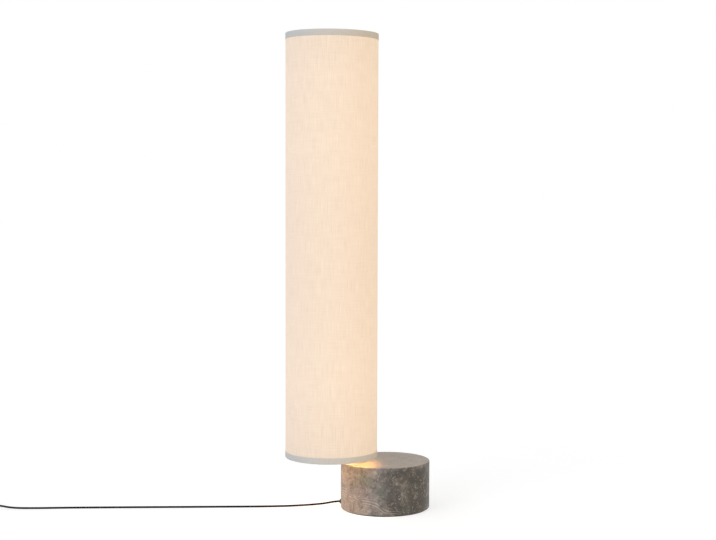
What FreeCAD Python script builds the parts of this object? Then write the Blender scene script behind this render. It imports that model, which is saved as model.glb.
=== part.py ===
"""Column floor lamp: a tall fabric cylinder that floats beside and above a round stone base.

Everything is in millimetres.  The origin is the middle of the base's underside on the floor, +Z is
up, and the shade's axis stands at -X.  A steel stem rises from the stone inside the shade, carries
two lampholders on side arms, and hangs the shade by a drop spider under a knurled finial.  The cord
leaves the stone through a grommet, runs along the floor to a foot switch, and ends in a tied coil
with its plug.
"""
import FreeCAD
import Part
import Sketcher
import math
import os
import re

SIZES = {
    # fits shared by the whole lamp
    "FitGap": 0.05,
    "HoleGap": 0.3,
    # stone base
    "BaseRadius": 113.5,
    "BaseTop": 123.0,
    "StoneEase": 2.5,
    "PadThick": 2.0,
    "PadInset": 5.0,
    "RecessEdge": 61.5,
    "RecessRadius": 42.0,
    "RecessTop": 48.0,
    # cord outlet in the stone, and the angle about the base's axis that it faces
    "OutletAngle": 156.0,
    "OutletHeight": 15.0,
    "OutletRadius": 4.6,
    "GrommetRadius": 6.0,
    "GrommetFlange": 3.0,
    "GrommetLength": 16.0,
    "GrommetEase": 1.0,
    "CordRadius": 2.5,
    "CordBend": 11.0,
    "StopPlace": 69.0,
    "StopLength": 9.0,
    "StopWidth": 11.0,
    "StopHeight": 12.0,
    "StopClearance": 3.0,
    "StopScrewRadius": 2.0,
    "StopScrewHead": 3.5,
    "StopScrewHeadHeight": 2.5,
    # stem and the threaded tube that ties it down through the stone
    "StemEdge": 50.5,
    "StemRadius": 6.5,
    "StemWall": 1.5,
    "SeatRadius": 8.0,
    "SeatThick": 1.0,
    "TubeBore": 3.5,
    "TubeGrip": 20.0,
    "TubeTail": 6.0,
    "WasherRadius": 18.0,
    "WasherThick": 3.0,
    "SpringWasherRadius": 9.0,
    "SpringWasherThick": 2.2,
    "SpringWasherSlit": 1.2,
    "NutFlats": 14.0,
    "NutHeight": 4.0,
    # arms clamped on the stem
    "HubRadius": 11.0,
    "HubHeight": 14.0,
    "ArmWidth": 14.0,
    "ArmThick": 4.0,
    "EyeRadius": 12.0,
    "LowerArm": 250.0,
    "UpperArm": 810.0,
    "TopHubHeight": 24.0,
    "TopHubCap": 4.0,
    "TopArmThick": 6.0,
    "SetScrewRadius": 2.5,
    "SetScrewSocket": 1.3,
    "SetScrewSocketDepth": 2.0,
    "StudRise": 15.0,
    "TipRadius": 3.4,
    "TipLength": 7.0,
    "TipGap": 0.3,
    # lampholders and bulbs
    "HolderCapRadius": 17.0,
    "HolderCapHeight": 20.0,
    "HolderWall": 1.6,
    "HolderFloor": 3.0,
    "HolderBossRadius": 8.0,
    "HolderBossHeight": 9.0,
    "InsertRim": 4.0,
    "InsertBore": 4.0,
    "TongueRadius": 4.0,
    "TongueThick": 1.5,
    "SleeveWall": 0.6,
    "SleeveHeight": 22.0,
    "SkirtWall": 1.6,
    "SkirtRadius": 20.0,
    "SkirtStart": 10.0,
    "SkirtTop": 56.0,
    "SkirtEase": 1.0,
    "BulbCapRadius": 13.2,
    "BulbCapLength": 26.0,
    "BulbCapWall": 0.8,
    "BulbTipRadius": 4.5,
    "BulbTipLength": 2.0,
    "BulbTipCone": 6.0,
    "BulbLength": 108.0,
    "GlassRadius": 30.0,
    "GlassShoulder": 28.0,
    "GlassWall": 1.0,
    "GlassTuck": 12.0,
    "LeadRadius": 1.5,
    "LeadBend": 8.0,
    "LeadHoleRadius": 2.2,
    "LeadDrop": 16.0,
    # shade
    "StemInset": 31.2,
    "ShadeGap": 20.5,
    "ShadeHeight": 1056.5,
    "ShadeRadius": 115.2,
    "FabricThick": 0.6,
    "LinerThick": 0.8,
    "TapeThick": 0.5,
    "TapeWidth": 15.5,
    "RingWire": 2.0,
    "RingGap": 0.1,
    "SpiderDrop": 30.0,
    "SpiderEyeRadius": 15.0,
    "SpiderEyeThick": 4.4,
    "SpiderBend": 8.0,
    "FinialRadius": 11.0,
    "FinialHeight": 18.0,
    "FinialNeck": 7.5,
    "FinialNeckHeight": 4.0,
    "FinialDome": 2.0,
    "FinialEase": 1.0,
    "KnurlDepth": 0.9,
    "KnurlCount": 24.0,
    # foot switch on the cord, its middle measured along the outlet's line and across it
    "SwitchPlace": 1063.0,
    "SwitchSide": 46.0,
    "SwitchLength": 88.0,
    "SwitchWidth": 54.0,
    "SwitchCorner": 16.0,
    "SwitchWall": 2.0,
    "SwitchSplit": 9.0,
    "CoverHeight": 13.0,
    "CoverCrown": 5.0,
    "FootRadius": 5.0,
    "FootThick": 1.6,
    "FootStandLength": 17.0,
    "FootStandWidth": 15.0,
    "BossRadius": 4.0,
    "BossLength": 27.0,
    "BossWidth": 14.0,
    "CaseScrewRadius": 1.5,
    "CaseScrewHead": 2.8,
    "CaseScrewHeadHeight": 1.8,
    "CaseScrewReach": 15.0,
    "ButtonRadius": 13.0,
    "ButtonRise": 4.5,
    "ButtonCrown": 1.5,
    "ButtonFlange": 15.0,
    "ButtonFlangeThick": 2.0,
    "ButtonPost": 3.5,
    "ButtonPostLength": 4.2,
    "ButtonGap": 0.4,
    "SpringRadius": 6.5,
    "SpringWire": 0.5,
    "SpringTurns": 4.0,
    "BlockLength": 30.0,
    "BlockWidth": 20.0,
    "BlockHeight": 7.0,
    "BootRadius": 6.5,
    "BootTip": 3.9,
    "BootLength": 16.0,
    "BootNeck": 5.0,
    "BootFlangeThick": 2.0,
    # coil of spare cord, and the strap round it
    "CoilPlace": 1195.0,
    "CoilRadius": 38.7,
    "CoilPitch": 5.6,
    "CoilTurns": 7.5,
    "CoilLayer": 5.5,
    "TieThick": 0.8,
    "TieWidth": 8.0,
    "TieGap": 0.3,
    # plug, two round pins on the end of the cord
    "PlugPlace": 1148.0,
    "PlugSide": 125.0,
    "PlugWidth": 35.3,
    "PlugThick": 13.7,
    "PlugSlope": 6.0,
    "PlugBody": 24.0,
    "PlugTaper": 12.0,
    "PlugNeckWidth": 14.0,
    "PlugNeckThick": 10.0,
    "ReliefLength": 16.0,
    "ReliefRadius": 4.6,
    "ReliefTip": 3.4,
    "ReliefRibs": 4.0,
    "ReliefGroove": 0.7,
    "PinRadius": 2.0,
    "PinRootRadius": 1.6,
    "PinLength": 19.0,
    "PinSpacing": 19.0,
    "PinRoot": 8.0,
}

# places worked out from the sizes above: the stem stands so far in from the base's rim, and so far
# in from the shade's wall
STEM_OUT = "(BaseRadius - StemEdge)"
SHADE_OUT = f"({STEM_OUT} + ShadeRadius - StemInset)"
RECESS_OUT = "(BaseRadius - RecessEdge)"
SHADE_BOTTOM = "(BaseTop + ShadeGap)"
SHADE_TOP = "(BaseTop + ShadeGap + ShadeHeight)"
TOP_ARM = f"({SHADE_TOP} - SpiderDrop)"
STEM_FOOT = "(BaseTop + SeatThick)"
STEM_LENGTH = f"({TOP_ARM} - TopHubCap - {STEM_FOOT})"
TUBE_RADIUS = "(StemRadius - StemWall - FitGap)"
LINER_INSIDE = "(ShadeRadius - FabricThick - LinerThick)"
RING_RADIUS = f"({LINER_INSIDE} - RingGap - RingWire)"
RING_RISE = "(TapeThick + RingWire)"
TAPE_INSIDE = f"({RING_RADIUS} - RingWire - TapeThick)"
CONTACT_HEIGHT = "(HolderCapHeight + InsertRim + TongueThick)"
CASE_TOP = "(FootThick + SwitchSplit + CoverHeight)"
BLOCK_TOP = "(FootThick + SwitchWall + BlockHeight)"
CORD_LEVEL = "(FootThick + SwitchSplit)"

# Free stretches of the cord, as (distance along the outlet's line from the base's axis, distance to
# its left, height).  The long run is the stretch that lies straight on the floor in full view.
TO_SWITCH = (
    (116.5, 0.0, 15.0),
    (126.0, 0.0, 15.0),
    (158.0, 0.2, 8.6),
    (206.0, 1.4, 4.7),
    (262.0, 4.6, 2.55),
    (330.0, 11.0, 2.5),
    (770.0, 32.0, 2.5),
    (838.0, 38.0, 2.5),
    (898.0, 43.0, 2.5),
    (946.0, 45.0, 3.4),
    (982.0, 46.0, 10.6),
    (1003.0, 46.0, 10.6),
)
TO_COIL = (
    (1123.0, 46.0, 10.6),
    (1139.0, 46.0, 10.6),
    (1158.0, 45.6, 5.2),
    (1178.0, 46.0, 3.6),
    (1190.0, 46.0, 3.6),
)
TO_PLUG = (
    (1190.0, 123.4, 9.1),
    (1178.0, 123.4, 9.1),
    (1163.0, 124.8, 7.2),
    (1157.0, 125.0, 6.85),
    (1148.0, 125.0, 6.85),
)

OUTLET = "OutletAngle"
# each bend's tangent length as a share of the shorter run beside it
ARC_SHARE = 0.45
# turns on each side of the coil's middle within which its line turns back, and the step along it
# that gives a heading
TURN_BACK = 0.25
HEADING_STEP = 1e-4
QUARTERS = 4
# points per loop at which the coil's gap to itself is measured
GAP_SAMPLES = 72
TINY = 1e-6

doc = FreeCAD.newDocument("ColumnFloorLamp")
sheet = doc.addObject("Spreadsheet::Sheet", "Sizes")
for row, (alias, value) in enumerate(SIZES.items(), start=1):
    sheet.set(f"A{row}", alias)
    sheet.set(f"B{row}", str(value))
    sheet.setAlias(f"B{row}", alias)
doc.recompute()

nodes = []


# ---------------------------------------------------------------- shared helpers

def size(alias):
    """One driving dimension as a number."""
    return float(sheet.get(alias))


def bound(text):
    """An expression in which each size's name points at its cell."""
    return re.sub(r"\b[A-Z]\w*", r"Sizes.\g<0>", text)


def place(item, x="0", y="0", z="0", turn=None, yaw="0"):
    """Put an object at a place, given along the lamp's axes or along an angle about the base."""
    if turn:
        along, across = x, y
        x = f"({along}) * cos({turn}) - ({across}) * sin({turn})"
        y = f"({along}) * sin({turn}) + ({across}) * cos({turn})"
        yaw = f"{turn} + {yaw}"
    for axis, text in (("x", x), ("y", y), ("z", z)):
        item.setExpression(f"Placement.Base.{axis}", bound(text))
    item.setExpression("Placement.Rotation.Yaw", bound(yaw))
    return item


def kept(item, label):
    """Register a finished sub-part under the name it is kept by."""
    item.Label = label
    nodes.append(item)
    return item


def plane(body, role):
    """One of a body's own origin planes."""
    return next(item for item in body.Origin.OriginFeatures if item.Role == role)


def new_sketch(body, role, offset=None):
    sketch = body.newObject("Sketcher::SketchObject", f"{body.Name}_sketch")
    sketch.AttachmentSupport = [(plane(body, role), "")]
    sketch.MapMode = "FlatFace"
    if offset:
        sketch.setExpression("AttachmentOffset.Base.z", bound(offset))
    return sketch


def pin_point(sketch, shape, corner, x, y):
    """Fix one point of a sketch at two expressions."""
    for kind, text in (("DistanceX", x), ("DistanceY", y)):
        index = sketch.addConstraint(Sketcher.Constraint(kind, -1, 1, shape, corner, 1.0))
        sketch.setExpression(f"Constraints[{index}]", bound(text))


def outline(body, corners, role="XZ_Plane", offset=None):
    """A closed outline of straight edges whose corners are pairs of expressions."""
    sketch = new_sketch(body, role, offset)
    count = len(corners)
    turn = 2 * math.pi / count
    starts = [FreeCAD.Vector(math.cos(i * turn), math.sin(i * turn), 0) for i in range(count)]
    for i in range(count):
        sketch.addGeometry(Part.LineSegment(starts[i], starts[(i + 1) % count]), False)
    for i in range(count):
        sketch.addConstraint(Sketcher.Constraint("Coincident", i, 2, (i + 1) % count, 1))
    for i, (x, y) in enumerate(corners):
        pin_point(sketch, i, 1, x, y)
    return sketch


def circle(body, x, y, radius, role="XY_Plane", offset=None):
    sketch = new_sketch(body, role, offset)
    sketch.addGeometry(Part.Circle(FreeCAD.Vector(0, 0, 0), FreeCAD.Vector(0, 0, 1), 1.0), False)
    index = sketch.addConstraint(Sketcher.Constraint("Radius", 0, 1.0))
    sketch.setExpression(f"Constraints[{index}]", bound(radius))
    pin_point(sketch, 0, 3, x, y)
    return sketch


def new_body(name):
    return doc.addObject("PartDesign::Body", name)


def pad(body, sketch, length):
    feature = body.newObject("PartDesign::Pad", f"{body.Name}_pad")
    feature.Profile = sketch
    feature.setExpression("Length", bound(length))
    return feature


def pocket(body, sketch, length, reverse=False):
    """Cut a sketch's outline into a body, and make sure that it did cut."""
    doc.recompute()
    before = body.Shape.Volume
    feature = body.newObject("PartDesign::Pocket", f"{body.Name}_pocket")
    feature.Profile = sketch
    feature.Reversed = reverse
    feature.setExpression("Length", bound(length))
    doc.recompute()
    if body.Shape.Volume > before - TINY:
        raise ValueError(f"{feature.Name} cuts nothing")
    return feature


def rounded(body, base, radius, chosen):
    """Round the edges of a feature that the function chosen picks out."""
    doc.recompute()
    names = [f"Edge{i}" for i, edge in enumerate(base.Shape.Edges, start=1) if chosen(edge)]
    feature = body.newObject("PartDesign::Fillet", f"{body.Name}_round")
    feature.Base = (base, names)
    feature.setExpression("Radius", bound(radius))
    return feature


def revolved(body, corners, about="V_Axis"):
    sketch = outline(body, corners)
    feature = body.newObject("PartDesign::Revolution", f"{body.Name}_turned")
    feature.Profile = sketch
    feature.ReferenceAxis = (sketch, [about])
    feature.Angle = 360
    return feature


def turned(name, corners, about="V_Axis"):
    """A turned piece: about V_Axis the corners are (radius, height), about H_Axis (along, radius)."""
    body = new_body(name)
    revolved(body, corners, about)
    return body


def tube(name, inner, outer, length):
    corners = ((inner, "0"), (outer, "0"), (outer, length), (inner, length))
    return turned(name, corners)


def rod_x(name, radius, length):
    """A round bar along its own X."""
    return turned(name, (("0", "0"), (length, "0"), (length, radius), ("0", radius)), "H_Axis")


def cylinder(name, radius, height):
    item = doc.addObject("Part::Cylinder", name)
    item.setExpression("Radius", bound(radius))
    item.setExpression("Height", bound(height))
    return item


def box(name, length, width, height):
    item = doc.addObject("Part::Box", name)
    item.setExpression("Length", bound(length))
    item.setExpression("Width", bound(width))
    item.setExpression("Height", bound(height))
    return item


def fused(name, items):
    item = doc.addObject("Part::MultiFuse", name)
    item.Shapes = items
    return item


def cut(name, base, tool):
    item = doc.addObject("Part::Cut", name)
    item.Base = base
    item.Tool = tool
    return item


def group(label, items):
    """Identical small pieces kept together as separate solids."""
    item = doc.addObject("Part::Compound", label)
    item.Links = items
    return kept(item, label)


def hex_nut(name):
    """A thin hexagon nut for the threaded lamp tube."""
    blank = doc.addObject("Part::Prism", f"{name}_blank")
    blank.Polygon = 6
    blank.setExpression("Circumradius", bound("NutFlats / sqrt(3)"))
    blank.setExpression("Height", bound("NutHeight"))
    bore = cylinder(f"{name}_bore", f"{TUBE_RADIUS} + FitGap", "NutHeight")
    return cut(name, blank, bore)


# ---------------------------------------------------------------- stone base and what is in it

def stone_base():
    """Solid stone drum with a recess below for the fastening and a hole for the cord."""
    pad_disc = turned("pad_disc", (
        ("0", "0"), ("BaseRadius - PadInset", "0"),
        ("BaseRadius - PadInset", "PadThick"), ("0", "PadThick")))
    kept(pad_disc, "floor_pad")

    stone = new_body("stone")
    drum = pad(stone, circle(stone, "0", "0", "BaseRadius"), "BaseTop - PadThick")
    rounded(stone, drum, "StoneEase", lambda edge: edge.Curve.TypeId == "Part::GeomCircle")
    recess = circle(stone, f"-{RECESS_OUT} * cos({OUTLET})", f"{RECESS_OUT} * sin({OUTLET})",
                    "RecessRadius")
    pocket(stone, recess, "RecessTop - PadThick", reverse=True)
    tie_hole = circle(stone, f"-{STEM_OUT} * cos({OUTLET})", f"{STEM_OUT} * sin({OUTLET})",
                      f"{TUBE_RADIUS} + HoleGap")
    pocket(stone, tie_hole, "BaseTop", reverse=True)
    outlet = circle(stone, "0", "OutletHeight - PadThick", "OutletRadius", "YZ_Plane")
    pocket(stone, outlet, "BaseRadius + OutletRadius", reverse=True)
    kept(place(stone, z="PadThick", turn=OUTLET), "marble_base")

    inside = "OutletRadius - FitGap"
    bore = "CordRadius + FitGap"
    grommet = turned("grommet", (
        ("-GrommetLength", bore), ("GrommetFlange", bore),
        ("GrommetFlange", "GrommetRadius - GrommetEase"),
        ("GrommetFlange - GrommetEase", "GrommetRadius"),
        ("0", "GrommetRadius"), ("0", inside), ("-GrommetLength", inside)), "H_Axis")
    kept(place(grommet, "BaseRadius", "0", "OutletHeight", OUTLET), "cord_grommet")

    block = box("stop_block", "StopLength", "StopWidth", "StopHeight")
    place(block, "StopPlace", "-StopWidth / 2", "OutletHeight - StopHeight / 2", OUTLET)
    cord_hole = rod_x("stop_cord_hole", bore, "StopLength")
    place(cord_hole, "StopPlace", "0", "OutletHeight", OUTLET)
    screw_hole = cylinder("stop_screw_hole", "StopScrewRadius + FitGap", "StopHeight / 2")
    place(screw_hole, "StopPlace + StopLength / 2", "0", "OutletHeight - StopHeight / 2", OUTLET)
    kept(cut("stop", cut("stop_bored", block, cord_hole), screw_hole), "cord_stop")

    reach = "StopHeight / 2 - CordRadius - FitGap"
    screw = turned("stop_screw", (
        ("0", "-StopScrewHeadHeight"), ("StopScrewHead", "-StopScrewHeadHeight"),
        ("StopScrewHead", "0"), ("StopScrewRadius", "0"), ("StopScrewRadius", reach),
        ("0", reach)))
    place(screw, "StopPlace + StopLength / 2", "0", "OutletHeight - StopHeight / 2", OUTLET)
    kept(screw, "cord_stop_screw")


def fastening():
    """Threaded tube, washers and nut that pull the stem down on the stone."""
    seat = tube("seat", f"{TUBE_RADIUS} + HoleGap", "SeatRadius", "SeatThick")
    kept(place(seat, f"-{STEM_OUT}", "0", "BaseTop"), "stem_seat_washer")

    stack = "(WasherThick + SpringWasherThick + NutHeight + TubeTail)"
    tie_tube = tube("tie_tube", "TubeBore", TUBE_RADIUS,
                    f"{STEM_FOOT} + TubeGrip - RecessTop + {stack}")
    kept(place(tie_tube, f"-{STEM_OUT}", "0", f"RecessTop - {stack}"), "base_tie_tube")

    washer = tube("washer", f"{TUBE_RADIUS} + HoleGap", "WasherRadius", "WasherThick")
    kept(place(washer, f"-{STEM_OUT}", "0", "RecessTop - WasherThick"), "clamp_washer")

    ring = tube("spring_washer_ring", f"{TUBE_RADIUS} + HoleGap", "SpringWasherRadius",
                "SpringWasherThick")
    slit = box("spring_washer_slit", "SpringWasherRadius", "SpringWasherSlit", "SpringWasherThick")
    split_ring = cut("spring_washer", ring, slit)
    place(split_ring, f"-{STEM_OUT}", "0", "RecessTop - WasherThick - SpringWasherThick")
    kept(split_ring, "spring_washer")


def stem():
    """Steel tube from the stone to the top arm, with a hole below each lampholder for its lead."""
    body = new_body("stem")
    revolved(body, (
        ("StemRadius - StemWall", "0"), ("StemRadius", "0"),
        ("StemRadius", STEM_LENGTH), ("StemRadius - StemWall", STEM_LENGTH)))
    for arm in ("LowerArm", "UpperArm"):
        hole = circle(body, "0", f"{arm} - ArmThick - LeadDrop - {STEM_FOOT}", "LeadHoleRadius",
                      "YZ_Plane")
        pocket(body, hole, "StemRadius + StemWall")
    kept(place(body, f"-{STEM_OUT}", "0", STEM_FOOT), "stem_tube")


# ---------------------------------------------------------------- arms on the stem

def arm(label, top, thick, hub_height, cap):
    """A hub on the stem, a flat bar, and an eye on the shade's axis for a threaded tube."""
    hub = cylinder(f"{label}_hub", "HubRadius", hub_height)
    place(hub, f"-{STEM_OUT}", "0", f"{top} - {hub_height}")
    bar = box(f"{label}_bar", f"{SHADE_OUT} - {STEM_OUT}", "ArmWidth", thick)
    place(bar, f"-{SHADE_OUT}", "-ArmWidth / 2", f"{top} - {thick}")
    eye = cylinder(f"{label}_eye", "EyeRadius", thick)
    place(eye, f"-{SHADE_OUT}", "0", f"{top} - {thick}")
    stem_bore = cylinder(f"{label}_stem_bore", "StemRadius + FitGap", f"{hub_height} - {cap}")
    place(stem_bore, f"-{STEM_OUT}", "0", f"{top} - {hub_height}")
    eye_bore = cylinder(f"{label}_eye_bore", f"{TUBE_RADIUS} + FitGap", thick)
    place(eye_bore, f"-{SHADE_OUT}", "0", f"{top} - {thick}")
    screw_bore = rod_x(f"{label}_screw_bore", "SetScrewRadius + FitGap", "HubRadius")
    place(screw_bore, f"-{STEM_OUT}", "0", f"{top} - {hub_height} / 2")
    solid = fused(f"{label}_solid", [hub, bar, eye])
    bores = fused(f"{label}_bores", [stem_bore, eye_bore, screw_bore])
    return kept(cut(f"{label}_cut", solid, bores), label)


def set_screw(name, height):
    """A grub screw in a hub, with its hexagon socket facing out."""
    length = "(HubRadius - StemRadius)"
    body = turned(name, (
        ("StemRadius", "0"), (f"StemRadius + {length} - SetScrewSocketDepth", "0"),
        (f"StemRadius + {length} - SetScrewSocketDepth", "SetScrewSocket"),
        ("HubRadius", "SetScrewSocket"), ("HubRadius", "SetScrewRadius"),
        ("StemRadius", "SetScrewRadius")), "H_Axis")
    return place(body, f"-{STEM_OUT}", "0", height)


def spreader():
    """Three-armed wire star on the stem that keeps the shade's lower ring centred."""
    level = f"({SHADE_BOTTOM} + {RING_RISE})"
    hub = cylinder("spreader_hub", "HubRadius", "HubHeight")
    place(hub, f"-{STEM_OUT}", "0", f"{level} - HubHeight / 2")
    reach = f"({TAPE_INSIDE} - TipGap - TipRadius)"
    aside = f"({SHADE_OUT} - {STEM_OUT})"
    wires = []
    tips = []
    for index, angle in enumerate((0, 120, 240)):
        along = f"({reach} * cos({angle}) - {aside})"
        across = f"({reach} * sin({angle}))"
        length = f"sqrt({along}^2 + {across}^2)"
        heading = f"atan2({across}; {along})"
        wire = rod_x(f"spreader_wire_{index}", "RingWire", length)
        wires.append(place(wire, f"-{STEM_OUT}", "0", level, yaw=heading))
        ball = doc.addObject("Part::Sphere", f"spreader_ball_{index}")
        ball.setExpression("Radius", bound("TipRadius"))
        place(ball, f"{along} - {STEM_OUT}", across, level)
        sleeve = turned(f"spreader_sleeve_{index}", (
            (f"{length} - TipLength", "0"), (length, "0"), (length, "TipRadius"),
            (f"{length} - TipLength", "TipRadius")), "H_Axis")
        place(sleeve, f"-{STEM_OUT}", "0", level, yaw=heading)
        tip = fused(f"spreader_tip_{index}", [sleeve, ball])
        tips.append(cut(f"spreader_cap_{index}", tip, wire))
    bore = cylinder("spreader_bore", "StemRadius + FitGap", "HubHeight")
    place(bore, f"-{STEM_OUT}", "0", f"{level} - HubHeight / 2")
    # the grub screw stands at the wires' level, a quarter turn from the short one
    screw_bore = rod_x("spreader_screw_bore", "SetScrewRadius + FitGap", "HubRadius")
    place(screw_bore, f"-{STEM_OUT}", "0", level, yaw="90")
    solid = fused("spreader_solid", [hub] + wires)
    bores = fused("spreader_bores", [bore, screw_bore])
    kept(cut("spreader_cut", solid, bores), "lower_spreader")
    group("spreader_tips", tips)
    return level


def arms():
    arm("lower_holder_arm", "LowerArm", "ArmThick", "HubHeight", "0")
    arm("upper_holder_arm", "UpperArm", "ArmThick", "HubHeight", "0")
    arm("shade_arm", TOP_ARM, "TopArmThick", "TopHubHeight", "TopHubCap")
    level = spreader()
    screws = [set_screw("lower_set_screw", "LowerArm - HubHeight / 2"),
              set_screw("upper_set_screw", "UpperArm - HubHeight / 2"),
              set_screw("top_set_screw", f"{TOP_ARM} - TopHubHeight / 2")]
    spreader_screw = set_screw("spreader_set_screw", level)
    spreader_screw.setExpression("Placement.Rotation.Yaw", "90")
    group("set_screws", screws + [spreader_screw])

    stud_foot = "(TopArmThick + NutHeight + TubeTail)"
    stud = tube("stud", "TubeBore", TUBE_RADIUS, f"{stud_foot} + StudRise")
    kept(place(stud, f"-{SHADE_OUT}", "0", f"{TOP_ARM} - {stud_foot}"), "shade_stud")

    seats = (("base_nut", f"-{STEM_OUT}",
              "RecessTop - WasherThick - SpringWasherThick - NutHeight"),
             ("lower_nut", f"-{SHADE_OUT}", "LowerArm - ArmThick - NutHeight"),
             ("upper_nut", f"-{SHADE_OUT}", "UpperArm - ArmThick - NutHeight"),
             ("stud_nut", f"-{SHADE_OUT}", f"{TOP_ARM} - TopArmThick - NutHeight"))
    group("hex_nuts", [place(hex_nut(name), x, "0", z) for name, x, z in seats])


# ---------------------------------------------------------------- lampholders, bulbs and leads

def lampholder(prefix, seat):
    """Screw lampholder that stands on an arm: cap, ceramic insert, contacts and skirt."""
    hole = f"{TUBE_RADIUS} + FitGap"
    cap = turned(f"{prefix}_cap", (
        (hole, "0"), ("HolderCapRadius", "0"), ("HolderCapRadius", "HolderCapHeight"),
        ("HolderCapRadius - HolderWall", "HolderCapHeight"),
        ("HolderCapRadius - HolderWall", "HolderFloor"), ("HolderBossRadius", "HolderFloor"),
        ("HolderBossRadius", "HolderBossHeight"), (hole, "HolderBossHeight")))
    kept(place(cap, f"-{SHADE_OUT}", "0", seat), f"{prefix}_holder_cap")

    inside = "HolderCapRadius - HolderWall - FitGap"
    rim_top = "HolderCapHeight + InsertRim"
    insert = turned(f"{prefix}_insert", (
        ("InsertBore", "HolderBossHeight"), (inside, "HolderBossHeight"),
        (inside, "HolderCapHeight"), ("HolderCapRadius", "HolderCapHeight"),
        ("HolderCapRadius", rim_top), ("InsertBore", rim_top)))
    kept(place(insert, f"-{SHADE_OUT}", "0", seat), f"{prefix}_holder_insert")

    sleeve_bore = "BulbCapRadius + HoleGap"
    sleeve = tube(f"{prefix}_sleeve", sleeve_bore, f"{sleeve_bore} + SleeveWall", "SleeveHeight")
    place(sleeve, f"-{SHADE_OUT}", "0", f"{seat} + {rim_top}")
    tongue = turned(f"{prefix}_tongue", (
        ("0", "0"), ("TongueRadius + HoleGap", "0"), ("TongueRadius + HoleGap", "TongueThick / 2"),
        ("TongueRadius", "TongueThick"), ("0", "TongueThick")))
    place(tongue, f"-{SHADE_OUT}", "0", f"{seat} + {rim_top}")
    group(f"{prefix}_holder_contacts", [sleeve, tongue])

    skirt = turned(f"{prefix}_skirt", (
        ("HolderCapRadius + FitGap", "SkirtStart"), ("SkirtRadius - SkirtEase", "SkirtStart"),
        ("SkirtRadius", "SkirtStart + SkirtEase"), ("SkirtRadius", "SkirtTop"),
        ("SkirtRadius - SkirtWall", "SkirtTop"), ("SkirtRadius - SkirtWall", rim_top),
        ("HolderCapRadius + FitGap", rim_top)))
    kept(place(skirt, f"-{SHADE_OUT}", "0", seat), f"{prefix}_holder_skirt")

    stack = "(ArmThick + NutHeight + TubeTail / 2)"
    nipple = tube(f"{prefix}_nipple", "TubeBore", TUBE_RADIUS, f"{stack} + HolderBossHeight")
    return place(nipple, f"-{SHADE_OUT}", "0", f"{seat} - {stack}")


def envelope(name, inset):
    """The bulb's glass form: neck, flare and globe, drawn in by its wall for the inside."""
    neck = f"(BulbCapRadius - BulbCapWall - FitGap - {inset})"
    globe = f"(GlassRadius - {inset})"
    centre = "(BulbLength - GlassRadius)"
    shoulder = f"(GlassShoulder - {inset})"
    shoulder_height = f"({centre} - sqrt({globe}^2 - {shoulder}^2))"
    stem_part = cylinder(f"{name}_neck", neck, f"GlassTuck + {inset}")
    place(stem_part, z=f"BulbCapLength - GlassTuck - {inset}")
    flare = doc.addObject("Part::Cone", f"{name}_flare")
    flare.setExpression("Radius1", bound(neck))
    flare.setExpression("Radius2", bound(shoulder))
    flare.setExpression("Height", bound(f"{shoulder_height} - BulbCapLength"))
    place(flare, z="BulbCapLength")
    ball = doc.addObject("Part::Sphere", f"{name}_globe")
    ball.setExpression("Radius", bound(globe))
    place(ball, z=centre)
    return fused(name, [stem_part, flare, ball])


def bulb(prefix, seat):
    """Screw-cap bulb whose tip rests on the lampholder's centre contact."""
    foot = f"{seat} + {CONTACT_HEIGHT}"
    bore = "BulbCapRadius - BulbCapWall"
    cap = turned(f"{prefix}_bulb_shell", (
        ("0", "0"), ("BulbTipRadius", "0"), ("BulbTipRadius", "BulbTipLength"),
        ("BulbCapRadius", "BulbTipCone"), ("BulbCapRadius", "BulbCapLength"),
        (bore, "BulbCapLength"), (bore, "BulbTipCone + BulbCapWall"),
        ("BulbTipRadius", "BulbTipLength + BulbCapWall"), ("0", "BulbTipLength + BulbCapWall")))
    kept(place(cap, f"-{SHADE_OUT}", "0", foot), f"{prefix}_bulb_cap")
    glass = cut(f"{prefix}_glass", envelope(f"{prefix}_outside", "0"),
                envelope(f"{prefix}_inside", "GlassWall"))
    kept(place(glass, f"-{SHADE_OUT}", "0", foot), f"{prefix}_bulb_glass")


# ---------------------------------------------------------------- shade and finial

def wire_ring(label, height):
    ring = doc.addObject("Part::Torus", f"{label}_wire")
    ring.setExpression("Radius1", bound(RING_RADIUS))
    ring.setExpression("Radius2", bound("RingWire"))
    return kept(place(ring, f"-{SHADE_OUT}", "0", height), label)


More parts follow.
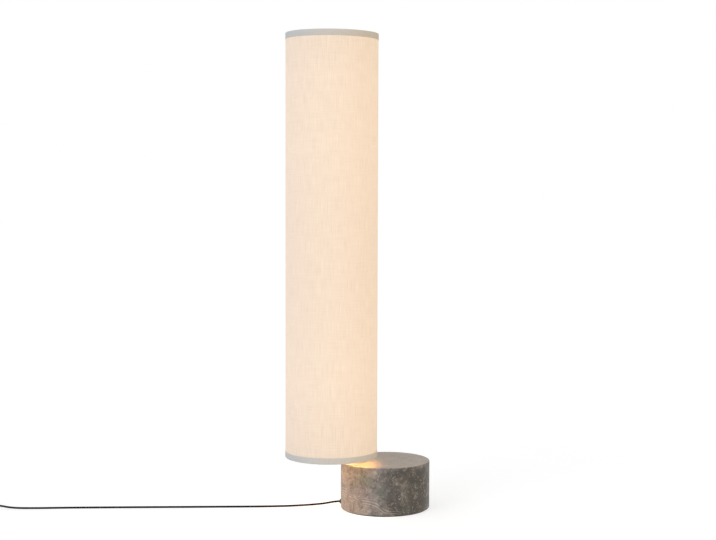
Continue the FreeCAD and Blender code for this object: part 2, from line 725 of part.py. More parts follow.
def drop_spider():
    """Top ring of the shade with three bent spokes down to the eye that hangs it on its stud."""
    body = new_body("spider")
    eye = revolved(body, (
        (f"{TUBE_RADIUS} + HoleGap", "0"), ("SpiderEyeRadius", "0"),
        ("SpiderEyeRadius", "SpiderEyeThick"), (f"{TUBE_RADIUS} + HoleGap", "SpiderEyeThick")))
    level = "(SpiderEyeThick / 2)"
    rise = f"(SpiderDrop - {RING_RISE})"
    section = circle(body, "0", level, "RingWire", "YZ_Plane", "SpiderEyeRadius - RingWire")

    # spoke's centre line: out along the eye's middle, round the bend, up to the ring
    bend = size("SpiderBend")
    start = size("SpiderEyeRadius") - size("RingWire")
    middle = size("SpiderEyeThick") / 2
    outer = size("ShadeRadius") - size("FabricThick") - size("LinerThick")
    outer -= size("RingGap") + size("RingWire")
    top = size("SpiderDrop") - size("TapeThick") - size("RingWire")
    path = new_sketch(body, "XZ_Plane")
    path.addGeometry(Part.LineSegment(FreeCAD.Vector(start, middle, 0),
                                      FreeCAD.Vector(outer - bend, middle, 0)), False)
    centre = FreeCAD.Vector(outer - bend, middle + bend, 0)
    arc = Part.Circle(centre, FreeCAD.Vector(0, 0, 1), bend)
    path.addGeometry(Part.ArcOfCircle(arc, -math.pi / 2, 0), False)
    path.addGeometry(Part.LineSegment(FreeCAD.Vector(outer, middle + bend, 0),
                                      FreeCAD.Vector(outer, top, 0)), False)
    path.addConstraint(Sketcher.Constraint("Tangent", 0, 2, 1, 1))
    path.addConstraint(Sketcher.Constraint("Tangent", 1, 2, 2, 1))
    index = path.addConstraint(Sketcher.Constraint("Radius", 1, bend))
    path.setExpression(f"Constraints[{index}]", bound("SpiderBend"))
    pin_point(path, 0, 1, "SpiderEyeRadius - RingWire", level)
    pin_point(path, 2, 2, RING_RADIUS, rise)
    path.addConstraint(Sketcher.Constraint("Horizontal", 0))
    path.addConstraint(Sketcher.Constraint("Vertical", 2))

    spoke = body.newObject("PartDesign::AdditivePipe", "spider_spoke")
    spoke.Profile = section
    spoke.Spine = (path, ["Edge1", "Edge2", "Edge3"])
    spokes = body.newObject("PartDesign::PolarPattern", "spider_spokes")
    spokes.Originals = [spoke]
    spokes.Axis = (eye.Profile[0], ["V_Axis"])
    spokes.Angle = 360
    spokes.Occurrences = 3
    body.Tip = spokes
    ring_section = circle(body, RING_RADIUS, rise, "RingWire", "XZ_Plane")
    ring = body.newObject("PartDesign::Revolution", "spider_ring")
    ring.Profile = ring_section
    ring.ReferenceAxis = (ring_section, ["V_Axis"])
    ring.Angle = 360
    # one spoke points away from the stem, so that the other two clear the arm
    kept(place(body, f"-{SHADE_OUT}", "0", TOP_ARM, yaw="180"), "shade_spider")


def band(label, height, flip):
    """Folded tape over a rim of the shade: outside leg, across the ring, short inside leg."""
    rim = "0"
    fold = "TapeThick"
    outside_end = "TapeWidth"
    inside_end = RING_RISE
    if flip:
        fold, outside_end, inside_end = (f"-({text})" for text in (fold, outside_end, inside_end))
    tape = turned(f"{label}_tape", (
        (TAPE_INSIDE, rim), ("ShadeRadius + TapeThick", rim),
        ("ShadeRadius + TapeThick", outside_end), ("ShadeRadius", outside_end),
        ("ShadeRadius", fold), (f"{TAPE_INSIDE} + TapeThick", fold),
        (f"{TAPE_INSIDE} + TapeThick", inside_end), (TAPE_INSIDE, inside_end)))
    kept(place(tape, f"-{SHADE_OUT}", "0", height), label)


def shade():
    height = "ShadeHeight - 2 * TapeThick"
    liner = tube("liner", LINER_INSIDE, f"{LINER_INSIDE} + LinerThick", height)
    kept(place(liner, f"-{SHADE_OUT}", "0", f"{SHADE_BOTTOM} + TapeThick"), "shade_liner")
    fabric = tube("fabric", "ShadeRadius - FabricThick", "ShadeRadius", height)
    kept(place(fabric, f"-{SHADE_OUT}", "0", f"{SHADE_BOTTOM} + TapeThick"), "shade_fabric")
    wire_ring("shade_bottom_ring", f"{SHADE_BOTTOM} + {RING_RISE}")
    drop_spider()
    band("shade_bottom_band", SHADE_BOTTOM, False)
    band("shade_top_band", SHADE_TOP, True)


def finial():
    """Knurled knob that screws down on the spider's eye."""
    body = new_body("knob")
    bore = f"{TUBE_RADIUS} + FitGap"
    depth = "StudRise - SpiderEyeThick + HoleGap"
    knob = revolved(body, (
        (bore, "0"), ("FinialNeck", "0"), ("FinialNeck", "FinialNeckHeight"),
        ("FinialRadius", "FinialNeckHeight + FinialEase"), ("FinialRadius", "FinialHeight - FinialDome"),
        ("FinialRadius - FinialDome", "FinialHeight"), ("0", "FinialHeight"),
        ("0", depth), (bore, depth)))
    groove = outline(body, (
        ("FinialRadius - KnurlDepth", "0"), ("FinialRadius + KnurlDepth", "2 * KnurlDepth"),
        ("FinialRadius + KnurlDepth", "-2 * KnurlDepth")), "XY_Plane", "FinialNeckHeight")
    first = pocket(body, groove, "FinialHeight", reverse=True)
    knurl = body.newObject("PartDesign::PolarPattern", "knob_knurl")
    knurl.Originals = [first]
    knurl.Axis = (knob.Profile[0], ["V_Axis"])
    knurl.Angle = 360
    knurl.setExpression("Occurrences", bound("KnurlCount"))
    body.Tip = knurl
    kept(place(body, f"-{SHADE_OUT}", "0", f"{TOP_ARM} + SpiderEyeThick"), "finial_knob")


# ---------------------------------------------------------------- foot switch

def rounded_block(name, length, width, height, corner):
    """Block centred on its own axis with rounded upright corners."""
    body = new_body(name)
    half_x, half_y = f"{length} / 2", f"{width} / 2"
    sketch = outline(body, (
        (f"-{half_x}", f"-{half_y}"), (half_x, f"-{half_y}"), (half_x, half_y),
        (f"-{half_x}", half_y)), "XY_Plane")
    block = pad(body, sketch, height)
    rounded(body, block, corner, lambda edge: edge.BoundBox.ZLength > TINY)
    return body


def crowned(body, height, radius):
    """Round the top edge of a block that is so many millimetres high."""
    doc.recompute()
    rounded(body, body.Tip, radius, lambda edge: edge.CenterOfMass.z > height - TINY)


def at_switch(item, x="0", y="0", z="0"):
    return place(item, f"SwitchPlace + {x}", f"SwitchSide + {y}", z, OUTLET)


def case_screw_places():
    """The two case screws stand in opposite corners."""
    return (("BossLength", "BossWidth"), ("(-BossLength)", "(-BossWidth)"))


def boot_holes(name):
    """Room for both boots' necks through the end walls."""
    neck = rod_x(f"{name}_boots", "BootNeck + FitGap", "SwitchLength + 2 * SwitchWall")
    return at_switch(neck, "(-SwitchLength / 2 - SwitchWall)", "0", CORD_LEVEL)


def switch_base():
    """Lower half of the case: tray with two screw bosses."""
    outer = rounded_block("tray_outer", "SwitchLength", "SwitchWidth", "SwitchSplit", "SwitchCorner")
    at_switch(outer, z="FootThick")
    inner = rounded_block("tray_inner", "(SwitchLength - 2 * SwitchWall)",
                          "(SwitchWidth - 2 * SwitchWall)", "SwitchSplit",
                          "SwitchCorner - SwitchWall")
    at_switch(inner, z="FootThick + SwitchWall")
    bosses = []
    holes = [boot_holes("tray")]
    for index, (x, y) in enumerate(case_screw_places()):
        boss = cylinder(f"tray_boss_{index}", "BossRadius", "SwitchSplit")
        bosses.append(at_switch(boss, x, y, "FootThick"))
        hole = cylinder(f"tray_hole_{index}", "CaseScrewRadius + FitGap", "SwitchSplit")
        holes.append(at_switch(hole, x, y, "FootThick"))
        sink = cylinder(f"tray_sink_{index}", "CaseScrewHead + FitGap", "CaseScrewHeadHeight")
        holes.append(at_switch(sink, x, y, "FootThick"))
    tray = fused("tray_solid", [cut("tray_shell", outer, inner)] + bosses)
    kept(cut("tray", tray, fused("tray_holes", holes)), "switch_case_lower")


def switch_cover():
    """Upper half of the case: crowned shell with the button's opening and two screw bosses."""
    outer = rounded_block("cover_outer", "SwitchLength", "SwitchWidth", "CoverHeight",
                          "SwitchCorner")
    crowned(outer, size("CoverHeight"), "CoverCrown")
    at_switch(outer, z=CORD_LEVEL)
    inner = rounded_block("cover_inner", "(SwitchLength - 2 * SwitchWall)",
                          "(SwitchWidth - 2 * SwitchWall)", "CoverHeight - SwitchWall",
                          "SwitchCorner - SwitchWall")
    crowned(inner, size("CoverHeight") - size("SwitchWall"), "CoverCrown - SwitchWall")
    at_switch(inner, z=CORD_LEVEL)
    opening = cylinder("cover_opening", "ButtonRadius + ButtonGap", "CoverHeight")
    holes = [boot_holes("cover"), at_switch(opening, z=CORD_LEVEL)]
    bosses = []
    for index, (x, y) in enumerate(case_screw_places()):
        boss = cylinder(f"cover_boss_{index}", "BossRadius", "CoverHeight - SwitchWall / 2")
        bosses.append(at_switch(boss, x, y, CORD_LEVEL))
        hole = cylinder(f"cover_hole_{index}", "CaseScrewRadius + FitGap",
                        "CaseScrewHeadHeight + CaseScrewReach - SwitchSplit")
        holes.append(at_switch(hole, x, y, CORD_LEVEL))
    solid = fused("cover_solid", [cut("cover_shell", outer, inner)] + bosses)
    kept(cut("cover", solid, fused("cover_holes", holes)), "switch_case_upper")


def switch_works():
    """Button, its spring, the contact block below it, screws, feet and cord boots."""
    under_cover = f"({CASE_TOP} - SwitchWall - FitGap)"
    flange_foot = f"({under_cover} - ButtonFlangeThick)"
    button = turned("button", (
        ("0", "-ButtonPostLength"), ("ButtonPost", "-ButtonPostLength"), ("ButtonPost", "0"),
        ("ButtonFlange", "0"), ("ButtonFlange", "ButtonFlangeThick"),
        ("ButtonRadius", "ButtonFlangeThick"),
        ("ButtonRadius", "ButtonFlangeThick + SwitchWall + ButtonRise - ButtonCrown"),
        ("ButtonRadius - ButtonCrown", "ButtonFlangeThick + SwitchWall + ButtonRise"),
        ("0", "ButtonFlangeThick + SwitchWall + ButtonRise")))
    kept(at_switch(button, z=flange_foot), "switch_button")

    block = box("contact_block", "BlockLength", "BlockWidth", "BlockHeight")
    at_switch(block, "(-BlockLength / 2)", "(-BlockWidth / 2)", "FootThick + SwitchWall")
    kept(block, "switch_contact_block")

    coil = doc.addObject("Part::Helix", "spring_line")
    coil.setExpression("Radius", bound("SpringRadius"))
    height = f"({flange_foot} - {BLOCK_TOP} - 2 * SpringWire)"
    coil.setExpression("Height", bound(height))
    coil.setExpression("Pitch", bound(f"{height} / SpringTurns"))
    wire = doc.addObject("Part::Circle", "spring_section")
    wire.setExpression("Radius", bound("SpringWire"))
    wire.Placement = FreeCAD.Placement(FreeCAD.Vector(size("SpringRadius"), 0, 0),
                                       FreeCAD.Rotation(FreeCAD.Vector(1, 0, 0), 90))
    wire.setExpression("Placement.Base.x", bound("SpringRadius"))
    spring = doc.addObject("Part::Sweep", "spring")
    spring.Sections = [wire]
    spring.Spine = coil
    spring.Solid = True
    spring.Frenet = True
    kept(at_switch(spring, z=f"{BLOCK_TOP} + SpringWire"), "button_spring")

    screws = []
    for index, (x, y) in enumerate(case_screw_places()):
        screw = turned(f"case_screw_{index}", (
            ("0", "0"), ("CaseScrewHead", "0"), ("CaseScrewHead", "CaseScrewHeadHeight"),
            ("CaseScrewRadius", "CaseScrewHeadHeight"),
            ("CaseScrewRadius", "CaseScrewHeadHeight + CaseScrewReach"),
            ("0", "CaseScrewHeadHeight + CaseScrewReach")))
        screws.append(at_switch(screw, x, y, "FootThick"))
    group("switch_case_screws", screws)

    feet = []
    for index, (x, y) in enumerate(((1, -1), (-1, 1), (-1, -1), (1, 1))):
        foot = cylinder(f"foot_{index}", "FootRadius", "FootThick")
        # the feet stand in from the corners, clear of the case screws
        feet.append(at_switch(foot, f"({x} * FootStandLength)",
                              f"({y} * FootStandWidth)", "0"))
    group("switch_feet", feet)

    boots = []
    for index, (end, yaw) in enumerate((("SwitchLength / 2", "0"), ("(-SwitchLength / 2)", "-180"))):
        boot = turned(f"boot_{index}", (
            ("-SwitchWall - BootFlangeThick", "0"), ("BootLength", "0"),
            ("BootLength", "BootTip"), ("0", "BootRadius"), ("0", "BootNeck"),
            ("-SwitchWall", "BootNeck"), ("-SwitchWall", "BootRadius"),
            ("-SwitchWall - BootFlangeThick", "BootRadius")), "H_Axis")
        at_switch(boot, end, "0", CORD_LEVEL)
        boot.setExpression("Placement.Rotation.Yaw", bound(f"{OUTLET} + {yaw}"))
        boots.append(boot)
    group("switch_cord_boots", boots)


# ---------------------------------------------------------------- plug

def at_plug(item, x="0", y="0", z="0"):
    """The plug lies along the outlet's line, its pins back towards the stone."""
    place(item, f"PlugPlace - ({x})", f"PlugSide - ({y})", f"PlugThick / 2 + {z}", OUTLET)
    item.setExpression("Placement.Rotation.Yaw", bound(f"{OUTLET} - 180"))
    return item


def flat_hexagon(body, width, thick, slope, offset):
    half, rise = f"({width} / 2)", f"({thick} / 2)"
    flat = f"({half} - {slope})"
    return outline(body, (
        (f"-{half}", "0"), (f"-{flat}", f"-{rise}"), (flat, f"-{rise}"), (half, "0"),
        (flat, rise), (f"-{flat}", rise)), "YZ_Plane", offset)


def plug():
    """Flat two-pin plug: tapered body, ribbed strain relief and round pins."""
    body = new_body("plug_moulding")
    neck_end = "ReliefLength + PlugTaper"
    sections = [
        flat_hexagon(body, "PlugNeckWidth", "PlugNeckThick", "PlugSlope / 2", "ReliefLength"),
        flat_hexagon(body, "PlugWidth", "PlugThick", "PlugSlope", neck_end),
        flat_hexagon(body, "PlugWidth", "PlugThick", "PlugSlope", f"{neck_end} + PlugBody")]
    loft = body.newObject("PartDesign::AdditiveLoft", "plug_form")
    loft.Profile = sections[0]
    loft.Sections = sections[1:]
    loft.Ruled = True
    at_plug(body)

    ribs = int(size("ReliefRibs"))
    step = "(ReliefLength / (2 * ReliefRibs + 1))"
    profile = [("0", "0")]
    for rib in range(2 * ribs + 1):
        along = f"({rib} / (2 * ReliefRibs))"
        radius = f"(ReliefTip + (ReliefRadius - ReliefTip) * {along})"
        if rib % 2:
            radius = f"({radius} - ReliefGroove)"
        profile.append((f"{rib} * {step}", radius))
        profile.append((f"{rib + 1} * {step}", radius))
    profile.append(("ReliefLength", "0"))
    relief = at_plug(turned("plug_relief", profile, "H_Axis"))

    front = "(ReliefLength + PlugTaper + PlugBody)"
    pins = []
    sockets = []
    for index, side in enumerate(("PinSpacing / 2", "-PinSpacing / 2")):
        socket = rod_x(f"pin_socket_{index}", "PinRootRadius + FitGap", "PinRoot")
        sockets.append(at_plug(socket, f"{front} - PinRoot", side))
        length = "(PinRoot + PinLength)"
        pin = turned(f"pin_{index}", (
            ("0", "0"), (length, "0"), (length, "PinRadius / 2"),
            (f"{length} - PinRadius / 2", "PinRadius"), ("PinRoot", "PinRadius"),
            ("PinRoot", "PinRootRadius"), ("0", "PinRootRadius")), "H_Axis")
        pins.append(at_plug(pin, f"{front} - PinRoot", side))
    moulding = fused("plug_solid", [body, relief])
    kept(cut("plug", moulding, fused("plug_sockets", sockets)), "plug_body")
    group("plug_pins", pins)


# ---------------------------------------------------------------- cords and leads

def rounded_path(points, radius_of):
    """Straight runs joined by tangent arcs, and the arcs' radii."""
    edges = []
    radii = []
    start = points[0]
    for before, corner, after in zip(points, points[1:], points[2:]):
        run_in = corner - before
        run_out = after - corner
        half_turn = run_in.getAngle(run_out) / 2
        radius = radius_of(min(run_in.Length, run_out.Length), half_turn)
        radii.append(radius)
        back = radius * math.tan(half_turn)
        run_in.normalize()
        run_out.normalize()
        arc_start = corner - run_in * back
        arc_end = corner + run_out * back
        inward = run_out - run_in
        inward.normalize()
        arc_middle = corner + inward * (radius / math.cos(half_turn) - radius)
        edges.append(Part.LineSegment(start, arc_start).toShape())
        edges.append(Part.Arc(arc_start, arc_middle, arc_end).toShape())
        start = arc_end
    edges.append(Part.LineSegment(start, points[-1]).toShape())
    return Part.Wire(edges), radii


def swept(wire, radius):
    """A round tube along a wire."""
    first = wire.Edges[0]
    at = first.valueAt(first.FirstParameter)
    heading = first.tangentAt(first.FirstParameter)
    section = Part.Wire(Part.Circle(at, heading, radius).toShape())
    return wire.makePipeShell([section], True, False)


def line_shape(label, shape, turn=0.0):
    item = doc.addObject("Part::Feature", label)
    item.Shape = shape
    item.Placement = FreeCAD.Placement(FreeCAD.Vector(0, 0, 0),
                                       FreeCAD.Rotation(FreeCAD.Vector(0, 0, 1), turn))
    return kept(item, label)


def held_cord(label, points, radius, bend):
    """A cord that the lamp holds all along: every bend has the same radius."""
    wire, _ = rounded_path([FreeCAD.Vector(*point) for point in points], lambda run, half: bend)
    return line_shape(label, swept(wire, radius))


def free_cord(label, route):
    """A cord that lies free: each bend is as large as its two runs allow."""
    points = [FreeCAD.Vector(*point) for point in route]
    wire, radii = rounded_path(points, lambda run, half: ARC_SHARE * run / math.tan(half))
    shape = swept(wire, size("CordRadius"))
    section = math.pi * size("CordRadius") ** 2
    print(f"{label}: {wire.Length:.1f} mm, smallest bend {min(radii):.0f} mm, volume over "
          f"section times length {shape.Volume / (section * wire.Length):.4f}")
    line_shape(label, shape, size("OutletAngle"))
    return wire.Length


def inner_wiring():
    """Cord from the grommet's mouth up through the stem, and a lead out to each lampholder."""
    angle = math.radians(size("OutletAngle"))
    level = size("OutletHeight")
    stem_x = size("StemEdge") - size("BaseRadius")
    mouth = size("BaseRadius") + size("GrommetFlange")
    turn_in = size("StopPlace") - size("CordBend") - size("StopClearance")
    lead_drop = size("ArmThick") + size("LeadDrop")
    top = size("UpperArm") - lead_drop + 2 * size("LeadHoleRadius")
    held_cord("inner_cord", (
        (mouth * math.cos(angle), mouth * math.sin(angle), level),
        (turn_in * math.cos(angle), turn_in * math.sin(angle), level),
        (stem_x, 0.0, level),
        (stem_x, 0.0, top)), size("CordRadius"), size("CordBend"))
    start = stem_x - size("CordRadius") - size("FitGap")
    shade_x = stem_x - size("ShadeRadius") + size("StemInset")
    for prefix, seat in (("lower", "LowerArm"), ("upper", "UpperArm")):
        below = size(seat) - lead_drop
        held_cord(f"{prefix}_lead", (
            (start, 0.0, below),
            (shade_x, 0.0, below),
            (shade_x, 0.0, size(seat) + size("HolderBossHeight"))),
            size("LeadRadius"), size("LeadBend"))


# ---------------------------------------------------------------- coil of spare cord

def coil_point(turn):
    """Centre line of the coil after so many turns: in along the floor, then out on top."""
    turns = size("CoilTurns")
    middle = turns / 2
    inner = size("CoilRadius") - size("CoilPitch") * middle
    away = turn - middle
    # near its middle the line rounds its way back out and climbs a layer
    if abs(away) < TURN_BACK:
        spread = (away * away / TURN_BACK + TURN_BACK) / 2
        lift = (1 + math.sin(math.pi * away / (2 * TURN_BACK))) / 2
    else:
        spread = abs(away)
        lift = 0.0 if away < 0 else 1.0
    radius = inner + size("CoilPitch") * spread
    angle = 2 * math.pi * turn - math.pi / 2
    height = size("TieThick") + size("TieGap") + size("CordRadius") + lift * size("CoilLayer")
    centre_y = size("SwitchSide") + size("CoilRadius")
    return FreeCAD.Vector(size("CoilPlace") + radius * math.cos(angle),
                          centre_y + radius * math.sin(angle), height)


def coil_heading(turn):
    """Direction of the coil's line: in along the outlet's line, and half a turn on, back again."""
    if turn <= 0:
        return FreeCAD.Vector(1, 0, 0)
    if turn >= size("CoilTurns"):
        return FreeCAD.Vector(-1, 0, 0)
    heading = coil_point(turn + HEADING_STEP) - coil_point(turn - HEADING_STEP)
    heading.normalize()
    return heading


def tangent_arc(start, corner, end):
    """Arc that leaves start towards corner and comes from corner into end."""
    chord = end - start
    half = (corner - start).getAngle(chord)
    if half < TINY:
        return Part.LineSegment(start, end).toShape()
    middle = (start + end) * 0.5
    share = math.tan(half / 2) / math.tan(half)
    return Part.Arc(start, middle + (corner - middle) * share, end).toShape()


def biarc(start, start_heading, end, end_heading):
    """Two arcs between two points that keep both headings."""
    across = end - start
    both = start_heading + end_heading
    spread = 2 * (1 - start_heading.dot(end_heading))
    along = across.dot(both)
    arm_length = (math.sqrt(along * along + spread * across.dot(across)) - along) / spread
    first = start + start_heading * arm_length
    second = end - end_heading * arm_length
    joint = (first + second) * 0.5
    return [tangent_arc(start, first, joint), tangent_arc(joint, second, end)]


def spare_coil():
    """Spare cord in two layers of loops, one unbroken tube, with straight ends."""
    turns = size("CoilTurns")
    tail = FreeCAD.Vector(2 * size("CordRadius"), 0, 0)
    steps = int(round(QUARTERS * turns))
    edges = [Part.LineSegment(coil_point(0) - tail, coil_point(0)).toShape()]
    for step in range(steps):
        here, there = step * turns / steps, (step + 1) * turns / steps
        edges += biarc(coil_point(here), coil_heading(here), coil_point(there),
                       coil_heading(there))
    edges.append(Part.LineSegment(coil_point(turns), coil_point(turns) - tail).toShape())
    wire = Part.Wire(edges)
    print(f"cord_coil: {wire.Length:.1f} mm, least gap to itself {coil_gap(wire):.2f} mm")
    line_shape("cord_coil", swept(wire, size("CordRadius")), size("OutletAngle"))
    return wire.Length


def coil_gap(wire):
    """Smallest gap between stretches of the coil that aren't neighbours along the cord."""
    count = int(GAP_SAMPLES * size("CoilTurns"))
    points = wire.discretize(count)
    skip = int(count / size("CoilTurns") / 3)
    least = min((points[i] - points[j]).Length
                for i in range(count) for j in range(i + skip, count))
    return least - 2 * size("CordRadius")


def coil_tie():
    """Flat strap round all the turns, on the coil's far side, a quarter turn from its ends."""
    inner_turn = "(CoilRadius - CoilPitch * (CoilTurns - 1) / 2)"
    low = f"({inner_turn} - CoilPitch / 8 - CordRadius - TieGap - TieThick)"
    high = "(CoilRadius - CoilPitch / 4 + CordRadius + TieGap + TieThick)"
    height = "(2 * CordRadius + CoilLayer + 2 * TieGap + 2 * TieThick)"
    body = new_body("strap")
    corner = "(CordRadius / 2)"
    pad(body, outline(body, (
        (low, corner), (f"{low} + {corner}", "0"), (f"{high} - {corner}", "0"), (high, corner),
        (high, f"{height} - {corner}"), (f"{high} - {corner}", height),
        (f"{low} + {corner}", height), (low, f"{height} - {corner}")), "YZ_Plane"), "TieWidth")
    low, high = f"({low} + TieThick)", f"({high} - TieThick)"
    bottom, top = "TieThick", f"({height} - TieThick)"
    corner = "(CordRadius / 2 - TieThick / 2)"
    inside = outline(body, (
        (low, f"{bottom} + {corner}"), (f"{low} + {corner}", bottom),
        (f"{high} - {corner}", bottom), (high, f"{bottom} + {corner}"),
        (high, f"{top} - {corner}"), (f"{high} - {corner}", top),
        (f"{low} + {corner}", top), (low, f"{top} - {corner}")), "YZ_Plane")
    pocket(body, inside, "TieWidth", reverse=True)
    place(body, "CoilPlace", "SwitchSide + CoilRadius + TieWidth / 2", "0", OUTLET)
    body.setExpression("Placement.Rotation.Yaw", bound(f"{OUTLET} - 90"))
    kept(body, "coil_tie")


def cords():
    inner_wiring()
    length = free_cord("cord_to_switch", TO_SWITCH)
    length += free_cord("cord_to_coil", TO_COIL)
    length += spare_coil()
    length += free_cord("cord_to_plug", TO_PLUG)
    print(f"free cord in all: {length:.0f} mm")
    coil_tie()


# ---------------------------------------------------------------- build and write

def build():
    stone_base()
    fastening()
    stem()
    arms()
    nipples = [lampholder("lower", "LowerArm"), lampholder("upper", "UpperArm")]
    group("holder_nipples", nipples)
    bulb("lower", "LowerArm")
    bulb("upper", "UpperArm")
    shade()
    finial()
    switch_base()
    switch_cover()
    switch_works()
    plug()
    cords()
    doc.recompute()


def write():
    broken = [item.Name for item in doc.Objects if {"Invalid", "Error"} & set(item.State)]
    if broken:
        raise ValueError(f"objects that failed: {broken}")
    for item in nodes:
        if item.Shape.isNull() or not item.Shape.isValid():
            raise ValueError(f"{item.Label} has no valid shape")
    os.makedirs("parts", exist_ok=True)
    for item in nodes:
        item.Shape.exportStep(os.path.join("parts", f"{item.Label}.step"))
    print(f"{len(nodes)} sub-parts written")


build()
write()
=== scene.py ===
"""Column floor lamp: cloth, stone, metal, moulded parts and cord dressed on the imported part."""
import math

import bmesh
import bpy
from bpy.props import FloatProperty, FloatVectorProperty, IntProperty, PointerProperty
from mathutils import Matrix, Vector


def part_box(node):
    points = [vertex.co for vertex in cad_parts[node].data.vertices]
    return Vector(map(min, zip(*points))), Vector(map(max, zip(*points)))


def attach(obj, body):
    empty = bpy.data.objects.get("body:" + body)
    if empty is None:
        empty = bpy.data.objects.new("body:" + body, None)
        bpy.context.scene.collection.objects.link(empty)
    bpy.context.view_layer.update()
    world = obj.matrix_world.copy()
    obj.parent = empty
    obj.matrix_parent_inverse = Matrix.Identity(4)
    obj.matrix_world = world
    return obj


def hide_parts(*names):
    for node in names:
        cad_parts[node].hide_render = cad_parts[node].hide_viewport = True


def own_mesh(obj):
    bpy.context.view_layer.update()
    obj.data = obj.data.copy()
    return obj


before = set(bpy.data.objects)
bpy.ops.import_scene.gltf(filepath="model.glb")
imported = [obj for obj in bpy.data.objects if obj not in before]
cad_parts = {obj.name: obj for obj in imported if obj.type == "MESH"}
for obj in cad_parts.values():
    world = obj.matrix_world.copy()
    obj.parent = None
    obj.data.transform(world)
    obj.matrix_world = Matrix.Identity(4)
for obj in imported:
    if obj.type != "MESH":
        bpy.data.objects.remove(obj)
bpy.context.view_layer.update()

bl_info = {
    "name": "Column floor lamp",
    "version": (1, 0, 0),
    "blender": (4, 5, 0),
    "location": "View3D > Sidebar > Lamp",
    "description": "Dresses a column floor lamp in cloth, stone, metal and moulded finishes",
    "category": "Object",
}

MM = 0.001
# heading of the cord as it leaves the stone
OUTLET_TURN = math.radians(156.0)
# how far the part's frame is turned from the photographer's, and the photographer's two headings
PICTURE_TURN = math.radians(24.12)
RIGHT = Vector((math.cos(PICTURE_TURN), -math.sin(PICTURE_TURN), 0.0))
AHEAD = Vector((math.sin(PICTURE_TURN), math.cos(PICTURE_TURN), 0.0))
UP = Vector((0.0, 0.0, 1.0))


def linear(code):
    """An sRGB hex colour as linear red, green and blue."""
    parts = [int(code[i:i + 2], 16) / 255 for i in (1, 3, 5)]
    return tuple(c / 12.92 if c <= 0.04045 else ((c + 0.055) / 1.055) ** 2.4 for c in parts)


def colour(name, description, code):
    """A colour that a user can change."""
    return FloatVectorProperty(name=name, description=description, subtype="COLOR", size=3,
                               min=0.0, max=1.0, default=linear(code))


# ------------------------------------------------------------------ what a user would change

class LampCloth(bpy.types.PropertyGroup):
    linen: colour("Linen", "Natural yarn of the shade, unlit", "#aca9a3")
    glow: colour("Glow", "Light that comes through the linen", "#d1b79f")
    tape: colour("Tape", "Woven tape on both rims", "#dddbd8")
    yarn: FloatProperty(name="Yarn spacing", description="Distance between threads as drawn",
                        default=0.9 * MM, unit="LENGTH", subtype="DISTANCE")
    seam: FloatProperty(name="Seam", description="Width of the lap where the cloth's ends meet",
                        default=9 * MM, unit="LENGTH", subtype="DISTANCE")


class LampStone(bpy.types.PropertyGroup):
    ground: colour("Ground", "Main tone of the marble", "#8a8684")
    shadow: colour("Dark clouds", "Dark zones in the marble", "#4d4b49")
    # painted warm light: laid low on the left and over the top, where the lamp's own light falls on
    # the stone
    warm: colour("Warm clouds", "Pale brown zones in the marble", "#a79b91")
    pale: colour("Veins", "Pale calcite veins and specks", "#c3bdb6")
    green: colour("Green clouds", "Faint green of serpentine in the marble", "#747d76")
    # partly painted light: a cooler tone on the left half that offsets the warm light falling there
    mauve: colour("Mauve bed", "Cool grey bed that the left half is cut from", "#86868b")


class LampHard(bpy.types.PropertyGroup):
    coat: colour("Powder coat", "Black powder coat of stem and arms", "#1b1a19")
    wire: colour("White wire", "White coat of the shade's wires", "#e2e0db")
    brass: colour("Brass", "Finial and contacts", "#c8a566")
    zinc: colour("Zinc", "Nuts, screws and threaded tubes", "#c9c9c6")
    moulded: colour("Black plastic", "Switch, plug and lampholders", "#161616")


class LampCord(bpy.types.PropertyGroup):
    sheath: colour("Sheath", "Black sheath of the cord", "#090909")
    diameter: FloatProperty(name="Diameter", description="Outside diameter of the cord",
                            default=5 * MM, unit="LENGTH", subtype="DISTANCE")
    coil_turns: FloatProperty(name="Coil turns", description="Turns of put-away cord",
                              default=7.5)
    coil_points: IntProperty(name="Points per turn", description="Route points in one turn",
                             default=24)


# ------------------------------------------------------------------ shared helpers

def add(tree, kind, settings=None, links=None):
    """Add a node, set its properties and unlinked inputs, and link the rest."""
    made = tree.nodes.new(kind)
    for name, value in (settings or {}).items():
        if isinstance(name, str) and not name.startswith("in:"):
            setattr(made, name, value)
        else:
            key = name[3:] if isinstance(name, str) else name
            made.inputs[key].default_value = value
    for name, source in (links or {}).items():
        tree.links.new(source, made.inputs[name])
    return made


def blank_finish(name):
    """A new material with its surface shader: (material, node tree, shader)."""
    made = bpy.data.materials.new(name)
    made.use_nodes = True
    tree = made.node_tree
    tree.nodes.clear()
    shader = add(tree, "ShaderNodeBsdfPrincipled")
    add(tree, "ShaderNodeOutputMaterial", links={"Surface": shader.outputs["BSDF"]})
    return made, tree, shader


def settle(tree, shader, links, values):
    """Give the shader its patterns, then its plain values."""
    for name, source in links.items():
        tree.links.new(source, shader.inputs[name])
    for name, value in values.items():
        shader.inputs[name].default_value = value


def stops(ramp, places):
    """Set a colour ramp's stops from (place, colour) pairs."""
    band = ramp.color_ramp
    while len(band.elements) > 1:
        band.elements.remove(band.elements[-1])
    for i, (place, tone) in enumerate(places):
        element = band.elements[0] if i == 0 else band.elements.new(place)
        element.position = place
        element.color = (*tone, 1.0)


def grey(value):
    """A grey whose three parts are the same."""
    return (value, value, value)


def dress(node, material):
    """Give a carried-over CAD node its finish."""
    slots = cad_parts[node].data.materials
    slots.clear()
    slots.append(material)


def put(name, data):
    """A new object in the scene."""
    made = bpy.data.objects.new(name, data)
    bpy.context.scene.collection.objects.link(made)
    return made


def keep(name, bm, material, body, nodes):
    """Turn a bmesh into a piece that rides on a body and stands for CAD nodes."""
    mesh = bpy.data.meshes.new(name)
    bm.to_mesh(mesh)
    bm.free()
    mesh.materials.append(material)
    mesh.shade_smooth()
    piece = put(name, mesh)
    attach(piece, body)
    if nodes:
        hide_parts(*nodes)
    return piece


